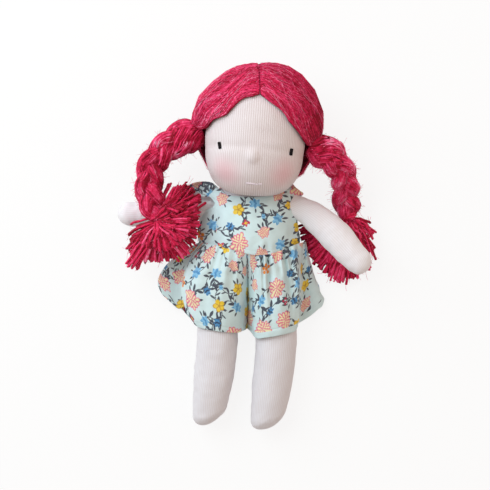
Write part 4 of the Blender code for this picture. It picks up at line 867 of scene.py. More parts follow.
def hair_points(side, s, t, lift):
    """Places in the combed hair: s along the parting, t from it to the bunch, lift in mm above.

    A place is the hair's centre, plus a direction times the half sizes times a reach. The reach
    goes from the scalp's to the form's as the hair gets fuller.
    """
    data = HAIR_SIDES[side]
    s, t, lift = np.broadcast_arrays(s, t, lift)
    direction = combed(data, s, t)
    drawn = hairline_directions(side)
    edge = through(np.linspace(0, 0.86, len(drawn)), drawn, t)
    pull_in = (np.exp(-((s / 0.13) ** 1.5)) * (1.0 - step(0.72, 0.95, t)))[..., None]
    direction = unit(direction + (edge - combed(data, np.zeros_like(s), t)) * pull_in)
    inner = scalp_reach(direction)
    x, y, z = (direction[..., axis] for axis in range(3))
    form = 1.0 - FRONT_THIN * step(0.35, 0.8, z)
    form = form - CROWN_DROP * step(0.5, 1.0, y) * np.exp(-((x / 0.36) ** 2))
    form = form - TEMPLE_DROP * np.exp(-((x + 0.62) ** 2 + (y - 0.75) ** 2) / 0.16)
    form = form + CREST_RISE * np.exp(-((x - 0.6) ** 2 + (y - 0.8) ** 2) / 0.25)
    groove = 0.08 + 0.24 * step(0.24, 0.1, s)
    fullness = EDGE_THIN + (1.0 - EDGE_THIN) * step(0.0, 0.10, s)
    fullness = fullness * (1.0 - groove * np.exp(-((t / 0.035) ** 2)))
    outer = inner + (form - inner) * fullness
    places = HAIR + HAIR_HALF * direction * outer[..., None] + direction * lift[..., None]
    bunch = np.array(data["bunch"])
    gather = step(0.7, 1.0, t)[..., None]
    ring = np.stack([0.0 * s, np.cos(2 * np.pi * s), np.sin(2 * np.pi * s)], axis=-1)
    ring = ring * BUNCH_SPREAD * (0.75 + 0.1 * lift[..., None])
    places = places * (1 - gather) + (bunch + ring) * gather
    places[..., 2] = np.maximum(places[..., 2], FLOOR_LIFT)
    return places


middle_of_hair = hair_points("right", np.array([0.5]), np.array([0.5]), np.array([0.0]))[0]
print("a place in the middle of the right hair:", middle_of_hair.round(1))

# %% [markdown]
# Three layers make the hair: a cap that closes it, in yarn darkened as painted shade under the
# locks, locks combed over the cap, and a haze of fine fibres. A bare surface with a hair texture
# would have a hard edge; here the edge is made of yarn. The light sees each lock half as a thread
# of its own and half as part of the round head, so that the hair shades as one soft mass.

# %% Locks
OWN_SHARE = 0.55  # how much of a yarn's own roundness the light sees
# Painted light and shade: the locks' tone rises by up to this much towards the window lamp and falls by
# as much away from it.
PAINTED_LIGHT_AND_SHADE = 0.17  # the hair darkens by this much away from the window


def locks(side, count, s_range, radius, lift, waves, seed, t_range=(0.0, 1.0), stations=15):
    """Combed locks: each drifts a little along the parting and floats a little above the cap.

    The drift is a sum of three sines of the way along the lock, with random phases.
    """
    draw = np.random.default_rng(seed)
    s0 = draw.uniform(*s_range, count)[:, None]
    t = np.linspace(0, 1, stations)[None, :]
    begin = draw.uniform(t_range[0], t_range[0] + 0.02, count)[:, None]
    t = begin + (t_range[1] - begin) * t
    phase = draw.uniform(0, 2 * np.pi, (count, 3))[:, :, None]
    drift = np.sin(3.1 * t + phase[:, 0]) + 0.6 * np.sin(8.0 * t + phase[:, 1] + 9 * s0)
    drift = waves * (drift + 0.3 * np.sin(17 * t + phase[:, 2]))
    s = np.clip(s0 + drift * np.sin(np.pi * np.clip(t, 0, 1)) ** 0.5, 0.0, 1.0)
    up = lift * draw.uniform(0.2, 1.0, count)[:, None] * (0.6 + 0.4 * np.sin(6 * t + phase[:, 1]))
    paths = hair_points(side, s, np.clip(t, 0, 1), up)
    clump = 0.45 * lumps(paths[:, stations // 3] * (1.0, 1.0, 0.6), 7.0, seed + 5)
    tone = np.clip(0.53 + 0.25 * draw.standard_normal(count) + 0.34 * clump, -0.1, 1.35)
    return paths, radius * draw.uniform(0.75, 1.25, count), tone


def join_tubes(groups, sides):
    """Several sets of paths as one piece: points, faces, the tone of each point and the way out of
    its tube."""
    points, faces, tones, ways, base = [], [], [], [], 0
    for paths, radii, tone in groups:
        made, quads, _ = tubes(paths, radii, sides)
        points.append(made)
        faces.append(quads + base)
        tones.append(np.repeat(tone, len(made) // len(tone)))
        ways.append(unit(made - np.repeat(np.asarray(paths).reshape(-1, 3), sides, axis=0)))
        base += len(made)
    return [np.concatenate(part) for part in (points, faces, tones, ways)]


print("a lock of 15 stations and 3 sides has", 14 * 3, "faces")

# %% Both halves of the hair
HAIR_SEEDS = {"right": 20, "left": 40}
CAP_ROWS_AND_COLUMNS = (90, 70)
CAP_DEPTH = -0.9  # how far the cap lies under the locks, in mm


def hair_cap(side):
    """The cap under the locks, in yarn darkened as painted shade, as one grid of hair points."""
    seed = HAIR_SEEDS[side]
    rows, columns = CAP_ROWS_AND_COLUMNS
    s = np.linspace(0, 1, rows)[:, None]
    t = np.linspace(0, 1, columns)[None, :]
    cap = hair_points(side, s, t, np.full((rows, columns), CAP_DEPTH))
    cap += 0.35 * unit(cap - HAIR) * lumps(cap, 8.0, seed)[..., None]
    faces = grid_faces(rows, columns, flip=(side == "left"))
    values = {"tone": 0.35 + 0.2 * lumps(cap, 6.0, seed)}
    # Painted shade: the cap is in the darker yarn, as if shaded by the locks over it.
    piece = make_mesh("hair_cap_" + side, cap, faces, painted_shade_yarn, "head", values=values)


def hair_half(side):
    """One half of the hair: its cap, the combed locks over it and a haze of fine fibres."""
    hair_cap(side)
    seed = HAIR_SEEDS[side]
    groups = [
        locks(side, 1280, (0.0, 1.0), 0.38, 1.1, 0.018, seed + 1),
        locks(side, 680, (0.0, 0.5), 0.32, 1.9, 0.028, seed + 2),
        locks(side, 220, (0.0, 0.05), 0.36, 1.0, 0.008, seed + 3),
    ]
    points, faces, tones, ways = join_tubes([(p, r[:, None], c) for p, r, c in groups], 3)
    facing = unit(OWN_SHARE * ways + unit((points - HAIR) / HAIR_HALF**2))
    # Painted light and shade: lighter towards the window lamp on the left, darker away from it.
    tones = tones - PAINTED_LIGHT_AND_SHADE * np.clip((points[:, 0] - HAIR[0]) / HAIR_HALF[0], -1.0, 1.0)
    name, values = "hair_locks_" + side, {"tone": tones}
    piece = make_mesh(name, points, faces, hair_yarn, "head", values=values, facing=facing)
    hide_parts("hair_" + side)
    paths, radii, tone = locks(
        side, 1700, (0.0, 1.0), 0.10, 2.6, 0.06, seed + 4, t_range=(0.03, 0.95), stations=9
    )
    fuzz = tube_piece("hair_fuzz_" + side, paths, radii[:, None], 3, fuzz_yarn, "head", tone)
    return piece


hair_pieces = [hair_half(side) for side in ("right", "left")]
print("hair:", [len(piece.data.polygons) for piece in hair_pieces], "faces")

# %% [markdown]
# ## Parting and hidden threads
#
# A seam of the same yarn holds the hair down along the parting. Sewn stitches could be modelled
# one by one; a thread that swings from side to side as a sine looks the same from above. The
# threads and tapes that never show keep the meshes of the CAD model and only get a finish.

# %% Parting
PARTING_SWING, PARTING_STITCHES = 0.9, 42


def parting_stitches():
    """The seam that holds the hair: a thread that goes from side to side in the groove."""
    s = np.linspace(0.03, 0.97, 700)
    root, sunk = np.zeros(700), np.full(700, -0.8)
    places = 0.5 * (hair_points("right", s, root, sunk) + hair_points("left", s, root, sunk))
    places[:, 0] += PARTING_SWING * np.sin(2 * np.pi * PARTING_STITCHES * s)
    tone = np.array([0.38])
    piece = tube_piece("parting_stitches", places[None], 0.5, 6, hair_yarn, "head", tone)
    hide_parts("parting_thread")


parting_stitches()
print("parting:", PARTING_STITCHES, "stitches")


# %% Hidden threads and tapes
def finish_node(name, material):
    """A node of the frame keeps its mesh and gets a finish of its own."""
    node = frame["nodes"][name]
    if not node.material_slots:
        node.data.materials.append(material)
    for slot in node.material_slots:
        slot.material = material


HIDDEN_FINISHES = {
    "eye_line_thread": white_thread,
    "neck_tie": white_thread,
    "nose_bead": wool_fill,
    "closure_loop_strip": white_tape,
    "closure_hook_strip": white_tape,
}
for name, material in HIDDEN_FINISHES.items():
    finish_node(name, material)
print("finished as they are:", ", ".join(HIDDEN_FINISHES))

# %% [markdown]
# ## Plaits
#
# Below each bunch the yarn is plaited and bound with a few turns of itself. A plait is three ropes
# that swap places: along the plait, rope $k$ is at $(a \sin\varphi, b \sin 2\varphi)$ across its
# line, with $\varphi$ growing by one turn per pitch and the three a third of a turn apart. A braid
# could also be an array of one modelled link, but it would not bend and thin as this one does. Each
# rope is a soft core under many fine yarns that twist round it.

# %% Plait lines
PLAITS = {
    "right": {
        "route": [
            (-37.0, 60.4, 38.0), (-44.5, 58.6, 38.5), (-54.0, 54.2, 39.0), (-62.6, 47.6, 38.2),
            (-69.3, 38.6, 35.6), (-71.2, 28.0, 33.6), (-70.4, 16.5, 32.8), (-67.4, 7.0, 32.0),
            (-64.5, 1.0, 31.6),
        ],
        "phase": 0.35,
        "pitch": 47.0,
    },
    "left": {
        "route": [
            (42.0, 51.6, 40.0), (50.2, 48.0, 38.6), (58.2, 40.8, 35.0), (63.8, 32.6, 29.0),
            (65.8, 25.0, 22.5), (66.4, 17.0, 15.6), (68.0, 9.0, 11.4), (70.0, 2.0, 9.6),
        ],
        "phase": 0.1,
        "pitch": 46.0,
    },
}
ROPE = 4.9  # the radius of a rope, in mm
ROPE_SWING, ROPE_RISE = 5.2, 3.0
FLOOR_CLEAR = 0.5


def plait_line(side, stations):
    """The centre line of a plait, its length at each station, and the two directions across it."""
    route = np.array(PLAITS[side]["route"])
    run = lengths_along(route)
    at = np.linspace(0, run[-1], stations)
    centre = through(run, route, at)
    ahead = unit(np.gradient(centre, axis=0))
    up = np.array([0.0, 0.0, 1.0]) - ahead[:, 2:3] * ahead
    up = unit(up)
    return centre, at, np.cross(ahead, up), up


def rope_line(side, number, stations=66):
    """The line of one rope of the plait and its radius: swollen at the root, tight at the tie."""
    centre, at, across, up = plait_line(side, stations)
    share = at / at[-1]
    turn = 2 * np.pi * (at / PLAITS[side]["pitch"] + PLAITS[side]["phase"] + number / 3.0)
    tight = (1.0 - 0.62 * step(0.84, 1.0, share)) * (0.7 + 0.3 * step(0.0, 0.08, share))
    swell = 1.0 + 0.26 * np.exp(-(((share - 0.13) / 0.13) ** 2))
    swing = (ROPE_SWING * np.sin(turn) * tight * swell)[:, None]
    rise = (ROPE_RISE * np.sin(2 * turn) * tight * swell)[:, None]
    line = centre + across * swing + up * rise
    thick = ROPE * tight**0.7 * swell * (1.0 + 0.08 * np.cos(2 * turn))
    line[:, 2] = np.maximum(line[:, 2], thick + FLOOR_CLEAR)
    return line, thick


for side in ("right", "left"):
    print(side, "plait:", plait_line(side, 66)[1][-1].round(1), "mm long")

# %% Yarns of a rope
ROPE_YARN = 0.4


def rope_yarns(line, thick, count, twist, seed, loose=0.06):
    """Yarns on the surface of a rope: each keeps its place in the section as the section turns.

    A yarn is at the rope's radius times a depth, at an angle that grows along the rope, and both
    wobble by two sines.
    """
    draw = np.random.default_rng(seed)
    ahead = unit(np.gradient(line, axis=0))
    up = unit(np.array([0.0, 0.0, 1.0]) - ahead[:, 2:3] * ahead)
    side = np.cross(ahead, up)
    run = lengths_along(line)
    start = draw.uniform(0, 2 * np.pi, count)[:, None]
    depth = (0.78 + 0.24 * draw.uniform(0, 1, count) ** 0.6)[:, None]
    phase = draw.uniform(0, 2 * np.pi, (count, 2))[:, :, None]
    wobble = loose * (np.sin(run / 4.6 + phase[:, 0]) + 0.7 * np.sin(run / 2.1 + phase[:, 1]))
    angle = start + twist * run / 10.0 + 3.0 * wobble
    reach = thick * (depth + wobble)
    places = line + side * (np.cos(angle) * reach)[..., None]
    places = places + up * (np.sin(angle) * reach)[..., None]
    tone = 0.5 + 0.2 * draw.standard_normal(count) + 0.16 * np.cos(start[:, 0] - 0.8)
    return places, ROPE_YARN * draw.uniform(0.7, 1.3, count)[:, None], np.clip(tone, -0.1, 1.3)


def yarn_rope(name, node, side, line, thick, core, yarns, lift):
    """A soft core and the yarns round it as one piece that rides with the plait.

    The core is the share of the radius, the tone and the number of sides. The lift is a function
    that gives the yarns' points what their tone gains.
    """
    share, tone, sides = core
    points, faces, tones, ways = join_tubes([(line[None], share * thick[None], np.array([tone]))], sides)
    yarn_points, yarn_faces, yarn_tones, yarn_ways = join_tubes([yarns], 3)
    way_out = unit(yarn_points - np.repeat(np.tile(line, (len(yarns[0]), 1)), 3, axis=0))
    piece = make_mesh(
        name,
        np.concatenate([points, yarn_points]),
        np.concatenate([faces, yarn_faces + len(points)]),
        hair_yarn,
        "plait_" + side,
        values={"tone": np.concatenate([tones, yarn_tones + lift(yarn_points)])},
        facing=np.concatenate([ways, unit(OWN_SHARE * yarn_ways + way_out)]),
    )
    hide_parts(node)
    return piece


print("yarns of a rope are", 2 * ROPE_YARN, "mm thick")

# %% Stray fibres
STRAY_SPREAD = 0.4
STRAY_FLOOR = 0.3


def stray_fibres(points, ahead, count, length, radius, seed, side, name):
    """Fine fibres that leave a surface near its points and wander off along it.

    A fibre starts at a point and goes its heading times the share, plus its bend times the square
    of the share.
    """
    draw = np.random.default_rng(seed)
    pick = draw.integers(0, len(points), count)
    along = ahead[pick] * draw.choice([-1.0, 1.0], count)[:, None]
    heading = unit(along + STRAY_SPREAD * draw.normal(size=(count, 3)))
    bend = 0.5 * draw.normal(size=(count, 3))
    share = np.linspace(0, 1, 5)[None, :, None]
    size = (length * draw.uniform(0.4, 1.3, count))[:, None, None]
    paths = points[pick][:, None] + size * (heading[:, None] * share + bend[:, None] * share**2)
    paths[..., 2] = np.maximum(paths[..., 2], STRAY_FLOOR)
    tone = 0.55 + 0.25 * draw.standard_normal(count)
    piece = tube_piece(name, paths, radius, 3, fuzz_yarn, "plait_" + side, tone)


print("a stray fibre has", 4 * 3, "faces")

# %% Ropes, bunch and tie
ROPE_SEEDS, BUNCH_SEEDS = {"right": 100, "left": 200}, {"right": 300, "left": 330}
# Painted light: the plaits' yarn tone is raised, the left plait's most, as it lies away from the window
# lamp.
PLAIT_PAINTED_LIGHT, BUNCH_TONE = {"right": 0.1, "left": 0.3}, -0.2
BUNCH_STATIONS = 34
TIE_FROM, TIE_SHARE, TIE_TURNS = 0.925, 0.045, 4.0  # where the tie starts, its share of the plait


def build_rope(side, number):
    """One rope of a plait, with a haze of fibres along it."""
    line, thick = rope_line(side, number)
    seed = ROPE_SEEDS[side] + 10 * number
    node = f"plait_{side}_strand_{number + 1}"
    yarns = rope_yarns(line, thick, 120, 0.55, seed)
    # The yarns' tone gets lumps and the plait's painted light.
    piece = yarn_rope(
        f"plait_{side}_rope_{number + 1}", node, side, line, thick, (0.84, 0.12, 16), yarns,
        lambda points: 0.25 * lumps(points, 9.0, seed + 3) + PLAIT_PAINTED_LIGHT[side],
    )
    ahead = np.repeat(unit(np.gradient(line, axis=0))[None], len(yarns[0]), axis=0).reshape(-1, 3)
    fuzz = f"plait_{side}_fuzz_{number + 1}"
    stray_fibres(yarns[0].reshape(-1, 3), ahead, 1200, 3.2, 0.09, seed + 4, side, fuzz)
    return piece


def build_bunch(side):
    """The swollen root: yarns leave the head, round over a ball and close on the plait."""
    centre = plait_line(side, 90)[0]
    back = np.linspace(3.0, 0.0, BUNCH_STATIONS)[:, None]
    line = centre[:BUNCH_STATIONS] - unit(centre[6] - centre[0]) * back
    share = np.linspace(0, 1, BUNCH_STATIONS)
    thick = 5.0 + 6.6 * np.sin(np.pi * share**0.8) ** 0.75 * (1 - 0.45 * share)
    seed = BUNCH_SEEDS[side]
    yarns = rope_yarns(line, thick, 190, 0.9, seed, loose=0.03)
    yarn_rope(
        "bunch_yarn_" + side, "hair_bunch_" + side, side, line, thick, (0.88, 0.1, 20), yarns,
        lambda points: 0.2 * lumps(points, 8.0, seed) + BUNCH_TONE,
    )


def build_tie(side):
    """A few turns of one yarn round the end of the plait: a helix on its line."""
    centre, _, across, up = plait_line(side, 90)
    share = np.linspace(0, 1, 220)
    stations, at = np.linspace(0, 1, 90), TIE_FROM + TIE_SHARE * share
    along, side_way, up_way = (through(stations, table, at) for table in (centre, across, up))
    angle = 2 * np.pi * TIE_TURNS * share
    radius = 4.6 + 0.3 * np.sin(9 * share)
    path = along + side_way * (radius * np.cos(angle))[:, None]
    path = path + up_way * (radius * np.sin(angle))[:, None]
    path[:, 2] = np.maximum(path[:, 2], 1.2)
    name, tone = "tie_yarn_" + side, np.array([0.62])
    piece = tube_piece(name, path[None], 0.85, 8, hair_yarn, "plait_" + side, tone)
    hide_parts("plait_tie_" + side)


for side in ("right", "left"):
    ropes = [build_rope(side, number) for number in range(3)]
    build_bunch(side)
    build_tie(side)
    print(side, "plait:", sum(len(rope.data.polygons) for rope in ropes), "faces")

# %% [markdown]
# ## Tassels
#
# Below its tie each plait bursts into a tassel of cut yarn. One fan of evenly spread yarns would
# look like a brush. Real mohair clings together in tufts, so each tuft is a bundle of yarns that
# leaves the root, swells and frays towards one tip, and the tips are read off the photograph.

# %% Where the tufts end
# A tip is a place in the picture and a height.
RIGHT_TIPS = [
    (181.6, 184, 25), (193.5, 185.5, 25), (201, 195, 27), (200.5, 207, 31), (202, 218, 32),
    (200, 230, 31), (196, 241, 29), (188, 254, 28), (174, 261.5, 27), (158, 263, 26),
    (147, 263.5, 25), (138, 258, 24), (128, 267, 22), (129.5, 254, 23), (131, 244, 25),
    (134, 235, 25), (186, 205, 41), (190, 222, 43), (184, 240, 42), (170, 250, 41), (154, 250, 38),
    (142, 247, 34), (176, 228, 46), (172, 214, 44), (162, 238, 44),
]
LEFT_TIPS = [
    (298, 236, 5), (301, 244, 4.5), (305.5, 252, 4), (310, 260, 4), (305, 238, 6), (309, 245, 5.5),
    (312, 253, 5), (314, 262, 4), (318, 269, 4), (325, 277, 4), (334.5, 286, 4), (342, 281, 5),
    (352, 281, 5), (359, 277, 6), (365, 272, 5), (367, 263, 6), (370, 254, 6), (367.5, 241, 7),
    (366.5, 232, 8), (346, 270, 12), (357, 260, 13), (332, 266, 11), (326, 250, 10),
    (362, 246, 12), (342, 256, 14),
]
TUFTS = {
    "right": {"root": (161.5, 221.0, 32.0), "tips": RIGHT_TIPS, "lift": 5.0},
    "left": {"root": (350.5, 219.5, 8.5), "tips": LEFT_TIPS, "lift": 4.0},
}
TUFT_YARNS = 28
TUFT_WIDTH = 4.6
TUFT_FLOOR = 1.15
print("tufts:", len(RIGHT_TIPS), "and", len(LEFT_TIPS))


# %% Tassels
def tuft_yarns(root, tip, lift, seed):
    """Yarns from the root to one tip: a bow upwards, a swelling bundle and frayed ends."""
    draw = np.random.default_rng(seed)
    share = np.linspace(0, 1, 13)[None, :, None]
    ahead = tip - root
    size = np.linalg.norm(ahead)
    ahead = ahead / size
    up = unit(np.array([0.0, 0.0, 1.0]) - ahead[2] * ahead)
    side = np.cross(ahead, up)
    place = draw.normal(size=(TUFT_YARNS, 2)) * (0.52, 0.42)
    width = TUFT_WIDTH * (0.3 + 0.7 * step(0.0, 0.45, share) + 0.28 * share**2)
    cut = draw.uniform(0.86, 1.0, TUFT_YARNS)[:, None, None] * draw.uniform(0.94, 1.03)
    pace = draw.uniform(4, 9, TUFT_YARNS)[:, None, None]
    phase = draw.uniform(0, 6.28, TUFT_YARNS)[:, None, None]
    wave = 0.7 * np.sin(pace * share + phase)
    paths = (
        root
        + ahead * size * share * cut
        + side * (place[:, 0, None, None] * width + wave * share)
        + up * (place[:, 1, None, None] * width * 0.8 + lift * 4 * share * (1 - share) * 0.9)
    )
    # Painted light and shade: yarns that lie higher in a tuft get a lighter tone and the lower ones a
    # darker one, besides their random tone.
    tone = 0.36 + 0.2 * draw.standard_normal(TUFT_YARNS) + 0.25 * place[:, 1]
    tone = tone + draw.uniform(-0.18, 0.24)
    radii = 0.68 * draw.uniform(0.7, 1.3, TUFT_YARNS)[:, None] * (0.8 + 0.35 * share[:, :, 0])
    return paths, radii, tone


def build_tassel(side):
    """All tufts of a tassel as one piece, with a haze of fibres."""
    data = TUFTS[side]
    body, node = "plait_" + side, "tassel_" + side
    root = on_photo(*data["root"])
    groups = []
    for number, tip in enumerate(data["tips"]):
        seed = 500 + number + (0 if side == "right" else 90)
        groups.append(tuft_yarns(root, on_photo(*tip), data["lift"], seed))
    for paths, _, _ in groups:
        paths[..., 2] = np.maximum(paths[..., 2], TUFT_FLOOR)
    points, faces, tones, _ = join_tubes(groups, 4)
    piece = make_mesh("tassel_yarn_" + side, points, faces, hair_yarn, body, values={"tone": tones})
    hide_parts(node)
    outer = [paths[:, 5:].reshape(-1, 3) for paths, _, _ in groups]
    ahead = [np.gradient(paths, axis=1)[:, 5:].reshape(-1, 3) for paths, _, _ in groups]
    outer, ahead = np.concatenate(outer), unit(np.concatenate(ahead))
    stray_fibres(outer, ahead, 2600, 3.0, 0.11, 620, side, "tassel_fuzz_" + side)
    return piece


tassels = [build_tassel(side) for side in ("right", "left")]
print("tassels:", [len(piece.data.polygons) for piece in tassels], "faces")

# %% [markdown]
# ## Printed cotton
#
# The romper is of thin cotton with a floral print. A picture could be wrapped round it, but a
# picture blurs when the camera comes near. This print is drawn from distances: each point of the
# cloth knows how far it is inside a line, a petal or a flower's heart, in millimetres of flat
# cloth, and the material turns the sign of that distance into a crisp edge. The motifs are this
# model's own: tufted asters, five-petal blossoms, bells, sprigs, berries and leafy stems,
# scattered by a seeded draw.
#
# A motif is a function of places round its centre. It gives the distance inside its outline, the
# distance inside its heart, and the two colours.

# %% Large motifs
PINK, CREAM = (0.76, 0.17, 0.28), (0.86, 0.83, 0.47)
YELLOW, MUSTARD, ORANGE = (0.83, 0.58, 0.035), (0.50, 0.27, 0.02), (0.78, 0.22, 0.012)
BLUE, SKY, NAVY = (0.075, 0.28, 0.56), (0.22, 0.52, 0.78), (0.02, 0.045, 0.11)
CRIMSON, INK, AQUA = (0.55, 0.03, 0.09), (0.028, 0.028, 0.055), (0.645, 0.815, 0.835)
OUTSIDE = -9.0  # a distance that is surely outside


def aster(x, y, size):
    """A round head of pale petals in three rings; each petal keeps a coloured rim and tip."""
    turn, reach = np.arctan2(y, x * 0.88), np.hypot(x * 0.88, y)
    reach = reach * (1.0 + 0.09 * np.sin(2 * turn + 0.7) + 0.05 * np.sin(3 * turn))
    number = np.floor(turn * 13 / (2 * np.pi) + 0.5)
    edge = size * (0.72 + 0.20 * np.abs(np.cos(6.5 * turn)) ** 0.6 + 0.11 * np.sin(2.4 * number))
    heart = np.full(np.shape(x), OUTSIDE)
    rings = ((0.80, 0.50, 13, 0.5), (0.55, 0.27, 9, 0.0), (0.30, 0.05, 5, 0.4))
    for outer, inner, petals, shift in rings:
        place = turn * petals / (2 * np.pi) + shift
        number = np.floor(place)
        place = place - number - 0.5
        side = 0.27 + 0.06 * np.sin(5.1 * number) - np.abs(place)
        side = side * reach * 2 * np.pi / petals
        tip = outer * (1.0 + 0.15 * np.sin(2.4 * number)) - 0.14 * (2 * place) ** 2
        tip = size * tip - reach
        heart = np.maximum(heart, np.minimum(np.minimum(side, tip), reach - size * inner))
    return (edge - reach) * 0.8, heart, PINK, CREAM


def blossom(x, y, size):
    """Five round petals with dark strokes towards the heart and a darker rim on one side."""
    turn, reach = np.arctan2(y, x), np.hypot(x, y)
    edge = size * (0.62 + 0.38 * np.abs(np.cos(2.5 * turn)) ** 0.8)
    strokes = size * 0.1 - np.abs(np.sin(2.5 * turn + np.pi / 2)) * reach * 0.6
    heart = np.minimum(strokes, size * 0.72 - reach)
    rim = np.minimum(size * 0.16 - (edge - reach), (y + 0.3 * x) * 0.4)
    heart = np.maximum(heart, rim)
    return (edge - reach) * 0.85, np.maximum(heart, size * 0.16 - reach), YELLOW, MUSTARD


def bell(x, y, size):
    """A cup of overlapping petals, darker in scalloped rows."""
    turn, reach = np.arctan2(y, x), np.hypot(x * 1.12, y * 0.9)
    edge = size * (0.82 + 0.16 * np.cos(6 * turn) + 0.07 * np.cos(11 * turn + 1.0))
    rows = np.sin(y / size * 7.5 + 1.6 * np.abs(np.sin(x / size * 4.0)))
    return edge - reach, np.minimum(rows * 0.35 * size * 0.5, edge * 0.86 - reach), SKY, BLUE


def dark_bell(x, y, size):
    """The same cup in deeper blue."""
    inside, heart, _, _ = bell(y, x, size)
    return inside, heart, BLUE, NAVY


print("the centre of an aster is inside by", aster(np.zeros(1), np.zeros(1), 4.0)[0].round(1), "mm")


# %% Small motifs
def ruby(x, y, size):
    """A small crimson flower with a yellow heart."""
    turn, reach = np.arctan2(y, x), np.hypot(x, y * 0.85)
    edge = size * (0.74 + 0.26 * np.cos(4 * turn))
    return edge - reach, size * (0.34 + 0.12 * np.cos(4 * turn)) - reach, CRIMSON, YELLOW


def berries(x, y, size):
    """Six round berries in a loose bunch with dark gaps."""
    inside = np.full(np.shape(x), OUTSIDE)
    for turn, far in ((0.2, 0.62), (1.3, 0.7), (2.5, 0.6), (3.6, 0.68), (4.8, 0.62), (0.0, 0.0)):
        reach = np.hypot(x - size * far * math.cos(turn), y - size * far * math.sin(turn))
        inside = np.maximum(inside, size * 0.3 - reach)
    return inside, size * 0.08 - np.hypot(x - size * 0.1, y - size * 0.66), ORANGE, MUSTARD


def sprig(x, y, size):
    """Three crimson buds on short stalks."""
    inside = np.full(np.shape(x), OUTSIDE)
    for turn, far in ((0.5, 0.7), (1.7, 0.8), (3.0, 0.55), (4.4, 0.2)):
        reach = np.hypot(x - size * far * math.cos(turn), (y - size * far * math.sin(turn)) * 0.8)
        inside = np.maximum(inside, size * 0.27 - reach)
    return inside, inside - size * 0.22, CRIMSON, PINK


# A motif's shape, its size and the room that it keeps free round it, in mm.
MOTIFS = {
    "aster": (aster, 6.6, 8.8),
    "small aster": (aster, 4.2, 6.6),
    "blossom": (blossom, 4.3, 6.4),
    "bell": (bell, 4.1, 6.2),
    "dark bell": (dark_bell, 3.1, 5.2),
    "ruby": (ruby, 2.6, 4.8),
    "berries": (berries, 4.0, 6.0),
    "sprig": (sprig, 3.0, 4.6),
    "bud": (bell, 1.9, 4.0),
    "small blossom": (blossom, 2.7, 4.6),
}
print(len(MOTIFS), "kinds of motif")

# %% [markdown]
# Flowers on a print are set by hand so that they never touch. Here a seeded draw throws each motif
# on the cloth again and again until it finds room, the large ones first. Then stems join
# neighbours, and leaves grow on the stems.

# %% Where the motifs go
def scatter(low, high, seed, plan):
    """Places for the motifs: each keeps its own room from the others, the large ones first."""
    draw = np.random.default_rng(seed)
    kept = []
    for kind, share in plan:
        room = MOTIFS[kind][2]
        wanted = max(1, round(share * float(np.prod(high - low)) / 1000.0))
        for _ in range(wanted * 60):
            spot = draw.uniform(low, high)
            if all(
                np.hypot(*(spot - at)) > room + MOTIFS[other][2] * 0.9 for other, at, _ in kept
            ):
                kept.append((kind, spot, draw.uniform(0, 2 * np.pi)))
                wanted -= 1
            if not wanted:
                break
    return kept


# Each kind of motif and how many of it come to 1000 square millimetres.
PLAN = [
    ("aster", 0.9), ("bell", 1.1), ("blossom", 1.3), ("small aster", 0.8), ("berries", 0.6),
    ("dark bell", 1.3), ("ruby", 1.2), ("sprig", 1.6), ("small blossom", 1.5), ("bud", 1.6),
]
print("motifs on 60 x 60 mm:", len(scatter(np.zeros(2), np.full(2, 60.0), 1, PLAN)))

# %% Stems and leaves
STEM_REACH, STEM_SHORTEST = 21.0, 7.5
STEM_HALF = 0.34


def stems(kept, seed):
    """Curved stems from each flower to one or two neighbours, and the leaves on them.

    A stem is a quadratic curve whose middle point lies off to one side. Leaves leave it to the
    right and to the left in turn, and some more stand round each flower.
    """
    draw = np.random.default_rng(seed)
    spots = np.array([spot for _, spot, _ in kept])
    share = np.linspace(0, 1, 26)[:, None]
    lines, leaves = [], []
    for number, spot in enumerate(spots):
        far = np.hypot(*(spots - spot).T)
        for other in np.argsort(far)[1:3]:
            if far[other] > STEM_REACH or other < number or far[other] < STEM_SHORTEST:
                continue
            end = spots[other]
            across = np.array([-(end - spot)[1], (end - spot)[0]]) * draw.choice([-0.55, 0.55])
            bend = (spot + end) / 2 + across
            line = (1 - share) ** 2 * spot + 2 * share * (1 - share) * bend + share**2 * end
            lines.append(line)
            ahead = np.gradient(line, axis=0)
            side_way = draw.choice([-1, 1])
            for index in range(3, 23, draw.integers(4, 7)):
                side_way = -side_way
                heading = math.atan2(ahead[index, 1], ahead[index, 0])
                heading = heading + side_way * draw.uniform(0.55, 0.95)
                size = draw.uniform(1.8, 3.1)
                centre = line[index] + size * np.array([math.cos(heading), math.sin(heading)])
                leaves.append((centre, heading, size, size * draw.uniform(0.24, 0.36)))
    for kind, spot, turn in kept:
        size = MOTIFS[kind][1]
        for index in range(3 if size > 4 else 1):
            heading = turn + index * 0.7 + draw.uniform(-0.2, 0.2)
            length = draw.uniform(1.4, 2.4)
            way = np.array([math.cos(heading), math.sin(heading)])
            centre = spot + (size * 0.86 + length * 0.75) * way
            leaves.append((centre, heading, length, length * 0.32))
    return lines, leaves


print("stems are", 2 * STEM_HALF, "mm wide")

# %% [markdown]
# The distances are worked out point by point of the mesh, so the mesh has to be about as fine as
# the print: two points to a millimetre draw a stem that is two thirds of a millimetre wide. A
# texture made of nodes would need hundreds of them, one for each petal.


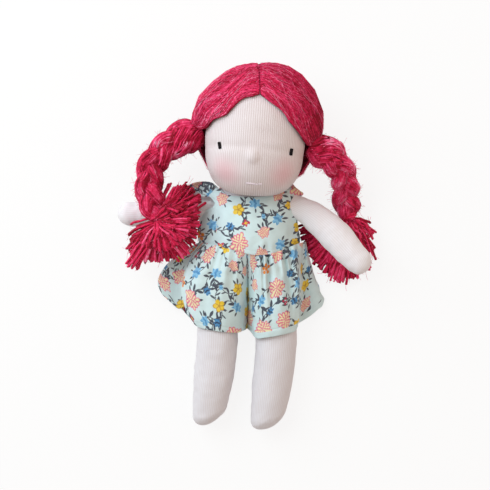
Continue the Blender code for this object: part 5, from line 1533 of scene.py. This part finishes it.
# %% The print on a piece of cloth
def line_distance(flat, lines, leaves):
    """How far each place is inside a stem or a leaf.

    In a stem it is half its width less the way to its line. In a leaf it is the leaf's width times
    one less the square of the way along it, less the way across, which is bowed.
    """
    best = np.full(len(flat), OUTSIDE)
    for line in lines:
        inside_box = (flat > line.min(axis=0) - 2) & (flat < line.max(axis=0) + 2)
        near = np.where(inside_box.all(axis=1))[0]
        if len(near):
            offset = flat[near, None] - line[None]
            far = np.hypot(offset[..., 0], offset[..., 1]).min(axis=1)
            best[near] = np.maximum(best[near], STEM_HALF - far)
    for centre, heading, length, width in leaves:
        near = np.where(np.abs(flat - centre).max(axis=1) < length + 1.5)[0]
        offset = flat[near] - centre
        along = (offset[:, 0] * math.cos(heading) + offset[:, 1] * math.sin(heading)) / length
        across = -offset[:, 0] * math.sin(heading) + offset[:, 1] * math.cos(heading)
        bow = np.abs(across - 0.25 * width * (1 - along**2))
        along = np.abs(along)
        inside = np.where(along < 1, width * (1 - along**2) - bow, -along + 1 - bow)
        best[near] = np.maximum(best[near], inside)
    return best


def print_values(layout, seed):
    """The distances and tints of the print at each point of a flat layout in millimetres."""
    flat = np.asarray(layout, dtype=float).reshape(-1, 2)
    low, high = flat.min(axis=0) - 3.0, flat.max(axis=0) + 3.0
    kept = scatter(low, high, seed, PLAN)
    petal, core = np.full(len(flat), OUTSIDE), np.full(len(flat), OUTSIDE)
    petal_tint, core_tint = np.tile(CREAM, (len(flat), 1)), np.tile(CREAM, (len(flat), 1))
    closest = np.full(len(flat), 1e9)
    for kind, spot, turn in kept:
        shape, size, _ = MOTIFS[kind]
        offset = flat - spot
        far = np.hypot(*offset.T) / size
        near = np.where(far < np.minimum(closest, 2.2))[0]
        closest[near] = far[near]
        x = offset[near, 0] * math.cos(turn) + offset[near, 1] * math.sin(turn)
        y = -offset[near, 0] * math.sin(turn) + offset[near, 1] * math.cos(turn)
        petal[near], core[near], first, second = shape(x, y, size)
        petal_tint[near], core_tint[near] = first, second
    return {
        "print_line": line_distance(flat, *stems(kept, seed + 1)),
        "print_petal": petal,
        "print_core": core,
        "petal_tint": petal_tint,
        "core_tint": core_tint,
        "plain": np.zeros(len(flat)),
    }


print("values of the print:", ", ".join(print_values([(0.0, 0.0), (9.0, 9.0)], 1)))

# %% Cotton
THREAD_PITCH = 0.42  # of the weave, in mm
COTTON_DEPTH = 0.0006  # in metres


def cotton_material(name, ground):
    """Printed cotton: the weave is two cosines, the ink is a little uneven and so is the dye."""
    shade = Shade(name, 0.78, sheen=0.12)
    across, along, flat = shade.layout()
    threads = [
        shade.math("COSINE", shade.math("MULTIPLY", way, 2 * math.pi / THREAD_PITCH))
        for way in (across, along)
    ]
    soft = shade.noise(flat, 0.16, 4.0)
    grain = shade.noise(flat, 2.6, 2.0)
    weave = shade.math("MULTIPLY", shade.math("ADD", *threads), 0.05)
    height = shade.math("ADD", weave, shade.math("MULTIPLY", soft, 1.6))
    shade.bump(height, 0.5, COTTON_DEPTH)
    rough = shade.math("MULTIPLY", shade.math("SUBTRACT", grain, 0.5), 0.5)
    darker = tuple(0.86 * part for part in ground)
    base = shade.mix(shade.fade(soft, 0.3, 0.8, 0.0, 0.5), ground, darker)

    def dye(value, low, high, strength):
        """How much of a colour lies where a distance, roughened by the grain, is above zero."""
        return shade.fade(shade.math("ADD", shade.value(value), rough), low, high, 0.0, strength)

    ink = dye("print_line", -0.12, 0.14, 0.93)
    petal = dye("print_petal", -0.12, 0.14, 0.95)
    core = dye("print_core", -0.16, 0.2, 0.92)
    plain = shade.fade(shade.value("plain"), 0.4, 0.6, 1.0, 0.0)
    flower = shade.mix(core, shade.value("petal_tint", "Color"), shade.value("core_tint", "Color"))
    printed = shade.mix(shade.math("MULTIPLY", ink, plain), base, INK)
    printed = shade.mix(shade.math("MULTIPLY", petal, plain), printed, flower)
    return shade.colour(printed)


cotton = cotton_material("printed cotton", AQUA)
print("cotton:", len(cotton.node_tree.nodes), "nodes")

# %% [markdown]
# ## Romper
#
# The romper is cut from flat cloth: a front with straps, two backs that overlap, and gathered
# legs. A cloth simulation could drape it, but its folds would fall where they like. Here each
# piece is a computed surface, so its edge and its folds lie where the picture has them. The front
# is a grid over the picture plane, laid on the chest and trimmed along its drawn edge.

# %% Cutting cloth along an outline
def outline_curve(points, steps=14):
    """A closed smooth line through the points of an outline."""
    ring = np.array(points, dtype=float)
    ring = np.concatenate([ring[-2:], ring, ring[:3]])
    at = np.linspace(2, len(ring) - 3, len(points) * steps + 1)
    return through(np.arange(len(ring)), ring, at)[:-1]


def inside_distance(places, ring):
    """The distance to a closed line, below zero outside it, where a ray crosses it evenly often."""
    places = np.asarray(places, dtype=float).reshape(-1, 2)
    start, end = ring, np.roll(ring, -1, axis=0)
    best = np.full(len(places), 1e9)
    crossings = np.zeros(len(places), dtype=int)
    for a, b in zip(start, end):
        edge = b - a
        share = np.clip(((places - a) @ edge) / max(edge @ edge, 1e-12), 0, 1)
        best = np.minimum(best, np.hypot(*(places - a - share[:, None] * edge).T))
        spans = (a[1] > places[:, 1]) != (b[1] > places[:, 1])
        if a[1] != b[1]:
            crossing = a[0] + (places[:, 1] - a[1]) * edge[0] / (b[1] - a[1])
            crossings += spans & (places[:, 0] < crossing)
    return np.where(crossings % 2 == 1, best, -best)


def trim(rows, columns, inside, *values):
    """Keep the part of a grid that is inside an edge, and slide the points outside it onto it.

    Along each side and diagonal of a cut face the distance falls through zero at its value inside
    over the sum of both. A point outside moves to the mean of these places.
    """
    faces = grid_faces(rows, columns)
    kept = faces[(inside[faces] > 0).any(axis=1)]
    pairs = ((0, 1), (1, 2), (2, 3), (3, 0), (0, 2), (1, 3))
    edges = np.concatenate([kept[:, pair] for pair in pairs])
    edges = np.concatenate([edges, edges[:, ::-1]])
    edges = edges[(inside[edges[:, 0]] <= 0) & (inside[edges[:, 1]] > 0)]
    out, into = edges.T
    share = (inside[out] / (inside[out] - inside[into]))[:, None]
    weight = np.zeros(len(inside))
    np.add.at(weight, out, 1.0)
    moved = []
    for value in values:
        value = np.array(value, dtype=float)
        total = np.zeros_like(value)
        np.add.at(total, out, value[out] + (value[into] - value[out]) * share)
        change = weight > 0
        value[change] = total[change] / weight[change, None]
        moved.append(value)
    used, index = np.unique(kept, return_inverse=True)
    return [index.reshape(kept.shape)] + [value[used] for value in moved]


def flat_area(points, faces):
    """The area of a mesh of quads, in square metres: half the length of its diagonals' cross."""
    a, b, c, d = (points[faces[:, k]] for k in range(4))
    cross = np.linalg.norm(np.cross(c - a, d - b), axis=-1) / 2
    return float(cross.sum()) * MM * MM


def grid_of(across, down):
    """A grid of pairs: the first value runs along its columns and the second down its rows."""
    return np.stack(np.meshgrid(across, down), axis=-1)


def swell(at, middle, width):
    """A bell that is one in the middle: e to the minus square of the way from it."""
    return np.exp(-(((at - middle) / width) ** 2))


print("the outline of a square has", len(outline_curve([(0, 0), (1, 0), (1, 1), (0, 1)])), "points")

# %% The form of the chest
# Stations up the body, and its half width, depth, middle height and middle x at each, in mm.
TORSO_Y = np.array([-49.5, -46.0, -38.0, -22.0, 0.0, 12.0, 20.0, 24.4, 25.6])
TORSO_HALF = np.array([9.0, 15.5, 22.6, 27.0, 26.5, 26.5, 27.0, 24.6, 21.0])
TORSO_DEPTH = np.array([4.0, 7.8, 13.4, 18.5, 18.4, 16.5, 12.2, 5.8, 0.8])
TORSO_LEVEL = np.array([13.0, 14.0, 17.0, 20.6, 20.6, 19.6, 18.6, 17.6, 17.2])
TORSO_X = np.array([-3.5, -3.2, -2.4, -0.6, 1.2, 2.0, 2.4, 2.5, 2.5])
CLOTH_LIFT = 0.9
CHEST_KNEE = 0.9  # where the ellipse of the chest turns into a straight fall


def torso_at(y):
    """Half width, depth, middle height and middle x of the body at a height along it."""
    return [through(TORSO_Y, table, y) for table in (TORSO_HALF, TORSO_DEPTH, TORSO_LEVEL, TORSO_X)]


def chest_level(x, y):
    """How high the cloth lies over the chest: an ellipse, and a straight fall past its shoulder."""
    half, depth, level, middle = torso_at(y)
    share = np.abs(x - middle) / (half + CLOTH_LIFT)
    knee = CHEST_KNEE
    curve = np.sqrt(np.maximum(1.0 - np.minimum(share, knee) ** 2, 0.0))
    slope = -knee / math.sqrt(1 - knee**2)
    rise = curve + slope * np.maximum(share - knee, 0.0) * 0.75
    return np.maximum(level + (depth + CLOTH_LIFT) * rise, 3.5)


print("the cloth lies", chest_level(2.0, 0.0).round(1), "mm high over the middle of the chest")

# %% Bodice
BODICE_STEP = 0.48  # of the grid, in pixels
FLAT_PIXEL = 0.69  # the size of a pixel at the height of the chest
FRONT_OUTLINE = [
    (199.5, 242.6), (211, 244.2), (219, 246.3), (229, 248.8), (240, 251.4), (253, 254.8),
    (265, 254.8), (275, 252.6), (285.5, 249.2), (292, 246), (299, 243.8), (300, 238), (298.5, 229),
    (297, 218), (294.6, 209), (294, 203), (296.5, 199), (301, 196.5), (303.5, 193.5),
    (299.5, 190.3), (295.5, 187), (291, 183), (286, 189), (278, 193.5), (268, 196), (256, 197),
    (244, 196.6), (233, 195.6), (226, 194), (220.5, 189.5), (216, 185.5), (211, 182.5),
    (205.5, 181.6), (203.5, 184), (204.5, 190), (208, 195.0), (212, 199.0), (214.6, 203),
    (212.6, 207.0), (207.5, 209.4), (202, 213.5), (199, 221), (197.6, 232),
]


def bodice_front():
    """The front of the bodice with its straps, on a grid over the picture.

    Its height is the chest's, plus the rise of the straps, slack folds, the gathers' pull at the
    waist, and the turned edge with its row of stitches.
    """
    across = np.arange(194.0, 308.0, BODICE_STEP)
    down = np.arange(178.0, 259.0, BODICE_STEP)
    grid = grid_of(across, down).reshape(-1, 2)
    px, py = grid.T
    level = np.full(px.shape, 30.0)
    for _ in range(4):
        spot = on_photo(px, py, level)
        level = chest_level(spot[:, 0], spot[:, 1])
    strap = step(204.0, 186.0, py)
    level = level + strap * 2.2 * swell(px, 212, 12.0) + strap * 2.4 * swell(px, 297, 9.0)
    inside = inside_distance(grid, outline_curve(FRONT_OUTLINE, 8))
    seam = swell(inside, 0.0, 1.6) * (inside > 0)
    stitched = swell(inside, 3.2, 0.55)
    flat_spot = grid * FLAT_PIXEL
    folds = 0.34 * lumps(flat_spot * (1.0, 0.6), 17.0, 71) + 0.14 * lumps(flat_spot, 7.0, 72)
    pull = 0.55 * swell(py, 247.0, 7.0) * np.cos((px - 262) * 0.62)
    pull = pull * step(256, 266, px) * step(298, 288, px)
    level = level + folds + pull + 0.45 * swell(inside, 0.0, 2.4) - 0.18 * stitched - 0.35 * seam
    points = on_photo(px, py, level)
    stretch = grid * (FLAT_PIXEL, -FLAT_PIXEL)
    faces, points, layout = trim(len(down), len(across), inside, points, stretch)
    values = print_values(layout, 301)
    faces = faces[:, ::-1]
    piece = make_mesh("romper_bodice", points, faces, cotton, "torso", layout=layout, values=values)
    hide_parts("romper_front")
    return piece


bodice = bodice_front()
print("bodice:", len(bodice.data.polygons), "faces")

# %% [markdown]
# Under the romper is the stuffed body, and behind it the cloth closes with two pieces that
# overlap. Both are rings of one section of the body, the cloth's a little larger, so that they
# can't cross each other.

# %% The stuffed body
BELLY_SHARE = 0.5  # how much of its depth in front the belly keeps above the legs
BODY_ROWS, BODY_COLUMNS = 91, 100


def torso_ring(y, turn, grow, back_level):
    """A point of the body's section at a height: an ellipse in front and a flatter one behind."""
    half, depth, level, middle = torso_at(y)
    slack = 1.0 - (1.0 - BELLY_SHARE) * step(-10.0, -28.0, y)
    rise = np.where(np.sin(turn) > 0, depth * slack + grow, level - back_level)
    across = middle + (half + grow) * np.cos(turn)
    return np.stack([across, y + 0.0 * turn, level + rise * np.sin(turn)], axis=-1)


def build_body():
    """The stuffed body: rings from the legs to the neck, drawn in at their ends, with dents."""
    turn = np.linspace(0, 2 * np.pi, BODY_COLUMNS, endpoint=False)
    y = np.concatenate([np.linspace(-49.4, 25.0, BODY_ROWS - 1), [25.5]])
    shrink = np.minimum(step(-51.0, -46.0, y) * 0.35 + 0.65, 1.0)[:, None, None]
    turn, y = np.meshgrid(turn, y)
    points = torso_ring(y, turn, -0.7, 3.6)
    middle = points.mean(axis=1, keepdims=True)
    points = middle + (points - middle) * shrink
    points += 0.25 * grid_normals(points) * lumps(points, 12.0, 61)[..., None]
    layout = np.stack([turn * 26.0, y], axis=-1)
    faces = grid_faces(BODY_ROWS, BODY_COLUMNS, closed=True, flip=True)
    piece = make_mesh("body_knit", points, faces, limb_knit, "torso", layout=layout)
    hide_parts("torso_skin")
    wool_core("body_fleece", "torso_wool", "torso", points, 63, flip=True)
    return piece


print("body:", len(build_body().data.polygons), "faces")

# %% The back
# Each half: the turn where it starts, its level behind, its lowest height, the height along the
# body and the level of its arm hole's middle, and the seed of its print.
BACKS = {"right": (0.42, 0.8, 0.45, 10.6, 9.9, 371), "left": (0.3, 1.5, 1.1, 9.6, 21.0, 377)}
BACK_ROWS, BACK_COLUMNS = 110, 150
ARM_HOLE = 9.6  # its radius
BACK_MIDDLE, OVERLAP = 0.86, 7.0  # the share of the columns up to the middle, and the way past it


def build_back(side):
    """One half of the romper's back, from the side seam to its edge past the middle.

    Its columns turn round the body as far as the middle and run straight on from there. The arm's
    hole is cut as a circle and the neck as a parabola.
    """
    sign = -1.0 if side == "right" else 1.0
    start, under, lowest, arm_y, arm_level, seed = BACKS[side]
    columns = np.linspace(0, 1, BACK_COLUMNS)
    share, y = np.meshgrid(columns, np.linspace(-23.5, 24.5, BACK_ROWS))
    swing = start + (-np.pi / 2 - start) * np.minimum(share / BACK_MIDDLE, 1.0)
    points = torso_ring(y, swing if sign > 0 else np.pi - swing, 1.0, under)
    past = np.maximum(share - BACK_MIDDLE, 0.0)
    points[..., 0] -= sign * past / (1 - BACK_MIDDLE) * OVERLAP
    folds = 0.35 * lumps(points * (1.0, 0.5, 1.0), 12.0, 65) * step(0.9, 0.6, share)
    points[..., 2] = np.maximum(points[..., 2] + folds, lowest)
    hole = np.hypot(points[..., 1] - arm_y, points[..., 2] - arm_level - 1.0) - ARM_HOLE
    outer = np.where(sign * (points[..., 0] - 4.0) > 12.0, hole, 9.0)
    neck = 24.5 - y + 0.012 * (points[..., 0] - 2.5) ** 2
    inside = np.minimum(outer, neck).ravel()
    layout = grid_of(lengths_along(points[BACK_ROWS // 2]), y[:, 0]).reshape(-1, 2)
    flat_points = points.reshape(-1, 3)
    faces, points, layout = trim(BACK_ROWS, BACK_COLUMNS, inside, flat_points, layout)
    a, b, c, d = (points[faces[:, k]] for k in range(4))
    outward = points[faces].mean(axis=1) - (2.0, 0.0, 19.0)
    if (np.cross(c - a, d - b) * outward).sum() < 0:
        faces = faces[:, ::-1]
    name, values = "romper_back_cloth_" + side, print_values(layout, seed)
    piece = make_mesh(name, points, faces, cotton, "torso", layout=layout, values=values)
    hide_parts("romper_back_" + side)
    size = layout.max(axis=0) - layout.min(axis=0)
    area = min(flat_area(points, faces), float(size.prod()) * MM * MM)
    print(name + ":", size.round(1), "mm when flat")


for side in BACKS:
    build_back(side)

# %% The back's shoulder
SHOULDER_OUTLINE = [
    (214, 184.5), (210, 182), (203, 181.4), (196, 182.2), (190, 184.4), (186.5, 188.5),
    (188, 192.5), (194, 195.5), (201, 196.4), (208, 196.6), (213, 192),
]


def shoulder_flap():
    """The back's shoulder cloth that shows past the right arm, slack and a little creased."""
    across, down = np.arange(184.0, 217.0, 0.7), np.arange(179.0, 200.0, 0.7)
    grid = grid_of(across, down).reshape(-1, 2)
    px, py = grid.T
    spot = grid * 0.7
    level = 17.0 + 5.0 * step(196, 214, px) + 1.0 * lumps(spot, 9.0, 77)
    level = level + 1.2 * np.sin((px + py) * 0.32)
    inside = inside_distance(grid, outline_curve(SHOULDER_OUTLINE, 8))
    points = on_photo(px, py, level + 0.5 * swell(inside, 0.0, 2.0))
    faces, points, layout = trim(len(down), len(across), inside, points, spot)
    faces = faces[:, ::-1]
    name, values = "romper_shoulder_cloth", print_values(layout, 391)
    piece = make_mesh(name, points, faces, cotton, "torso", layout=layout, values=values)
    return piece


print("shoulder cloth:", len(shoulder_flap().data.polygons), "faces")

# %% [markdown]
# The legs of the shorts are gathered at the waist and hang wide at the hem, where they flare into
# a wing. Gathers could be a bump of the finish, but these cast shadows, so they are moves of the
# points. Each column of the grid runs from a place on the waist seam to a place on the hem, both
# read off the photograph, and bows outward between them.

# %% Columns of the shorts
# Each column: hem pixel and level, waist pixel and level, sideways bow in mm, and dip in mm at
# its middle.
RIGHT_COLUMNS = [
    (248.5, 327.5, 4, 248.8, 253.9, 37.6, 0.8, -7.5),
    (243.8, 330.6, 17, 245.2, 252.9, 38.2, 0, -2.5),
    (237, 332.7, 25, 240, 251.2, 37.8, 0, 0),
    (228, 332.5, 30, 233, 249.7, 37, 0, 1.5),
    (219, 331.6, 31.5, 226, 247.9, 35.6, -1.5, 2.2),
    (208, 329.8, 30, 217, 245.6, 32.5, -5, 2.5),
    (198, 327, 26, 210, 243.8, 28, -9.6, 2.0),
    (193.5, 323.5, 21, 205.5, 242.7, 22.5, -11.6, 1.0),
    (191.5, 316, 14.5, 203, 242.2, 20, -10, -0.5),
    (188, 307.5, 9.5, 202, 242, 18, -8, -1.5),
    (184, 306.5, 7.5, 201.4, 241.8, 16.5, -8, -1.5),
    (179, 309, 6.5, 201, 241.7, 15, -8, -1),
    (170, 301.5, 7.5, 200.6, 241.6, 13, -9, 0.5),
    (162, 293.5, 6.5, 200.4, 241.6, 11, -10, 0.5),
    (158.8, 289, 4.5, 200.4, 241.7, 9, -9.7, 0),
    (163, 292, 2.6, 202, 241.8, 7, -9.5, 0),
    (180, 308, 1.6, 207, 242.5, 4.5, -8, 0),
    (200, 325, 1.1, 213, 244, 2.5, -5, 0),
    (225, 330, 1.0, 225, 247, 1.4, -2, 0),
    (241, 329, 2.0, 238, 251, 1.2, 0, 0),
    (248.3, 327.5, 3.2, 248, 253, 1.2, 0, 0),
]
LEFT_COLUMNS = [
    (246.8, 327.5, 4, 247.4, 253.7, 37.6, -0.8, -7.5),
    (251.6, 333, 17, 251.3, 254.4, 38.5, 0, -2.5),
    (257, 338.5, 25, 257, 254.9, 38.5, 0, 0),
    (266, 337.8, 30, 264, 254.8, 38.1, 0, 1.5),
    (276, 336.2, 32, 272, 252.9, 37, 0, 2.2),
    (287, 333.7, 30, 280.5, 250.5, 34.8, 0.5, 2.5),
    (295, 331, 25.5, 289, 247.2, 31, 1, 2.0),
    (298.4, 327, 20.5, 297, 243.9, 26, 1.4, 1.0),
    (298.8, 323, 14.5, 301, 242.8, 23.5, 0.8, -1),
    (301, 322, 9, 303.5, 242.3, 21.5, 0, -2),
    (309, 316.5, 7.8, 305, 242, 20, -1, -1),
    (317.5, 310, 7.8, 305.6, 241.8, 18, -1.5, 0.5),
    (323, 305.8, 6.6, 306, 241.6, 16, -1.5, 0.5),
    (324, 298.5, 5, 306, 241.5, 13, -1.5, 0),
    (320, 303, 2.6, 305.5, 241.6, 9, -1, 0),
    (300, 321, 1.6, 301, 243, 5, 0, 0),
    (276, 333, 1.2, 288, 247, 2.4, 0, 0),
    (257, 332, 1.6, 268, 252, 1.4, 0, 0),
    (247, 327.5, 3.2, 247.8, 254, 1.2, 0, 0),
]
print("columns:", len(RIGHT_COLUMNS), "and", len(LEFT_COLUMNS))

# %% The form of the shorts
SHORTS_ROWS, SHORTS_COLUMNS = 155, 410
GATHERS = {"right": (210.0, 240.0, 1.2), "left": (258.0, 298.0, 3.3)}  # from and to pixel, mm
HEM_STITCH = {"right": 3.6, "left": 5.4}  # mm above the hem
WAIST_TUCK = 0.5  # how far the waist goes under the bodice


def shorts_form(side, table, seed):
    """A leg of the shorts as a grid of points: columns round the leg, rows from waist to hem.

    Each column is a straight line with a parabola's bow. Added to its height are cosines for the
    gathers, which fade below the waist, lumps for slack cloth, and the pressed row of stitches.
    The last row turns the hem's edge down.
    """
    table = np.array(table, dtype=float)
    hem_ends, waist_ends = on_photo(*table[:, :3].T), on_photo(*table[:, 3:6].T)
    run = lengths_along(0.7 * hem_ends + 0.3 * waist_ends)
    at = np.linspace(0, run[-1], SHORTS_COLUMNS)
    hem, waist = through(run, hem_ends, at), through(run, waist_ends, at)
    bow, dip = through(run, table[:, 6], at), through(run, table[:, 7], at)
    waist_px = through(run, table[:, 3], at)
    v = np.linspace(0, 1, SHORTS_ROWS)[:, None]
    points = waist + (hem - waist) * v[..., None]
    points[..., 0] += bow * 4 * v * (1 - v)
    points[..., 2] += dip * (4 * v * (1 - v)) ** 0.8
    low, high, size = GATHERS[side]
    front = step(16.0, 24.0, waist[:, 2])
    within = step(low - 4, low + 4, waist_px) * step(high + 4, high - 4, waist_px) * front
    lean = waist_px - 6.0 * v * (waist_px - 250.0) / 50.0
    ripple = np.cos(lean * 0.9 + 1.1 * np.sin(lean * 0.31)) * np.exp(-((v / 0.42) ** 1.4))
    ripple = ripple * step(-0.04, 0.05, v)
    broad = np.cos(lean * 0.40 + 2.0 + 0.5 * np.sin(3 * v)) * swell(v, 0.42, 0.36)
    points[..., 2] += within * size * (0.6 * ripple + 0.75 * broad)
    spot = grid_of(at, v[:, 0] * 55.0)
    soft = front * np.sin(np.pi * np.clip(v * 1.15, 0, 1))
    slack = 0.75 * lumps(spot * (1.0, 0.34), 13.0, seed)
    slack = slack + 0.3 * lumps(spot * (1.0, 0.6), 6.0, seed + 1)
    points[..., 2] += soft * slack
    points[..., 0] += 0.35 * step(0.2, 0.7, v) * lumps(spot, 12.0, seed + 2)
    points[..., 2] -= 0.25 * swell((1 - v) * 60.0, HEM_STITCH[side], 0.6) * front
    lift = np.maximum(chest_level(*waist[:, :2].T) - WAIST_TUCK - waist[:, 2], 0.0)
    points[..., 2] += front * swell(v, 0.0, 0.2) * lift
    points[..., 2] = np.maximum(points[..., 2], 0.5)
    lip = points[-1] + (0.0, 0.5, -0.7)
    lip[:, 0] -= 0.25 * np.sign(points[-1, :, 0] - points[-1, :, 0].mean())
    lip[:, 2] = np.maximum(lip[:, 2], 0.35)
    return np.concatenate([points, lip[None]])


forms = {
    "right": shorts_form("right", RIGHT_COLUMNS, 80),
    "left": shorts_form("left", LEFT_COLUMNS, 90),
}
print("grid of a leg of the shorts:", forms["right"].shape[:2])

# %% Shorts
HEM_BAND = {"right": 0.0, "left": 4.2}  # how much of the hem is unprinted, in mm
HIP_X = {"right": -24.2, "left": 17.3}


def shorts_leg(side, seed):
    """One leg of the shorts in printed cotton."""
    points = forms[side]
    rows, columns = points.shape[:2]
    down = np.linalg.norm(np.diff(points, axis=0), axis=-1).mean(axis=1)
    along = np.concatenate([[0.0], np.cumsum(down)])
    around = lengths_along(points[int(rows * 0.6)])
    layout = grid_of(around, -along)
    values = print_values(layout, seed)
    band = step(-0.15, 0.15, HEM_BAND[side] - (along[-2] - along))
    values["plain"] = np.repeat(band, columns)
    faces = grid_faces(rows, columns)
    up = np.cross(points[44, 119] - points[44, 106], points[54, 106] - points[44, 106])[2]
    faces = faces if up > 0 else faces[:, ::-1]
    name, hip = "romper_shorts_" + side, HIP_X[side] * MM
    piece = make_mesh(name, points, faces, cotton, None, layout=layout, values=values)
    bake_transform(piece)
    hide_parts("romper_leg_" + side)
    return piece


shorts = [shorts_leg("right", 331), shorts_leg("left", 352)]
print("shorts:", [len(piece.data.polygons) for piece in shorts], "faces")

# %% [markdown]
# ## Light and camera
#
# The photograph has soft light from the upper left, a white ground and a camera straight above.
# A picture of a studio could light the scene. Two large lamps and an even sky are simpler and
# need only a few numbers.

# %% Lamps
def area_light(name, place, size, energy, colour):
    """A square lamp that looks at the doll's chest."""
    lamp = bpy.data.lights.new(name, "AREA")
    lamp.size, lamp.energy, lamp.color = size, energy, colour
    made = bpy.data.objects.new(name, lamp)
    made.location = place
    aim = Vector((0.0, 0.0, 0.02)) - Vector(place)
    made.rotation_euler = aim.to_track_quat("-Z", "Y").to_euler()
    bpy.context.scene.collection.objects.link(made)
    print(name, energy, "W")


area_light("window lamp", (-0.56, 0.46, 0.70), 0.9, 9.1, (0.83, 0.94, 1.0))
area_light("room lamp", (0.9, 0.25, 0.9), 1.0, 2.3, (1.0, 0.70, 0.50))

# %% [markdown]
# The sky has two faces. Cloth is lit by a dim and warm one, which fills the shadows. The camera
# and mirror-like rays meet a white one, so that nothing round the floor looks grey.


# %% Sky
def add_node(tree, kind, *inputs, operation=None):
    """A new node whose inputs, in their order, are linked to sockets or set to values."""
    node = tree.nodes.new(kind)
    if operation:
        node.operation = operation
    for place, value in enumerate(inputs):
        if isinstance(value, bpy.types.NodeSocket):
            tree.links.new(value, node.inputs[place])
        else:
            node.inputs[place].default_value = value
    return node.outputs


world = bpy.data.worlds.new("studio")
bpy.context.scene.world = world
world.use_nodes = True
sky = world.node_tree
sky.nodes.clear()
ray = add_node(sky, "ShaderNodeLightPath")
mirrored = (ray["Is Glossy Ray"], ray["Is Transmission Ray"])
shiny = add_node(sky, "ShaderNodeMath", *mirrored, operation="MAXIMUM")[0]
seen = add_node(sky, "ShaderNodeMath", ray["Is Camera Ray"], shiny, operation="MAXIMUM")[0]
dim = add_node(sky, "ShaderNodeBackground", (1.0, 0.86, 0.77, 1.0), 0.52)[0]
bright = add_node(sky, "ShaderNodeBackground", (1.0, 1.0, 1.0, 1.0), 1.0)[0]
chosen = add_node(sky, "ShaderNodeMixShader", seen, dim, bright)[0]
add_node(sky, "ShaderNodeOutputWorld", chosen)
print("sky:", len(sky.nodes), "nodes")

# %% Floor
FLOOR_HALF = 3000.0
FLOOR_GLOW = 0.85
floor_shade = Shade("white studio floor", 0.9)
floor_shade.colour((0.9, 0.9, 0.9))
# What the camera sees of the floor is mostly its own glow, so that it is white and its shadow soft.
floor_tree = floor_shade.tree
ray = add_node(floor_tree, "ShaderNodeLightPath")
seen = (ray["Is Camera Ray"], FLOOR_GLOW)
seen = add_node(floor_tree, "ShaderNodeMath", *seen, operation="MULTIPLY")[0]
glow = add_node(floor_tree, "ShaderNodeEmission")[0]
lit = add_node(floor_tree, "ShaderNodeMixShader", seen, floor_shade.shader.outputs[0], glow)[0]
floor_tree.links.new(lit, floor_tree.nodes["Material Output"].inputs["Surface"])
corners = [(x * FLOOR_HALF, y * FLOOR_HALF, 0) for x, y in ((-1, -1), (1, -1), (1, 1), (-1, 1))]
floor = make_mesh("studio_floor", corners, [(0, 1, 2, 3)], floor_shade.material, None)
print("floor:", 2 * FLOOR_HALF, "mm wide")

# %% Camera
camera_data = bpy.data.cameras.new("camera")
camera_data.lens = LENS
camera_data.sensor_width = SENSOR
camera_data.clip_end = 10.0
camera = bpy.data.objects.new("camera", camera_data)
camera.location = (VIEW_X * MM, VIEW_Y * MM, (DISTANCE + FOCUS) * MM)
bpy.context.scene.collection.objects.link(camera)
bpy.context.scene.camera = camera
bpy.context.scene.view_settings.view_transform = "Standard"
print("camera", [round(value, 4) for value in camera.location])
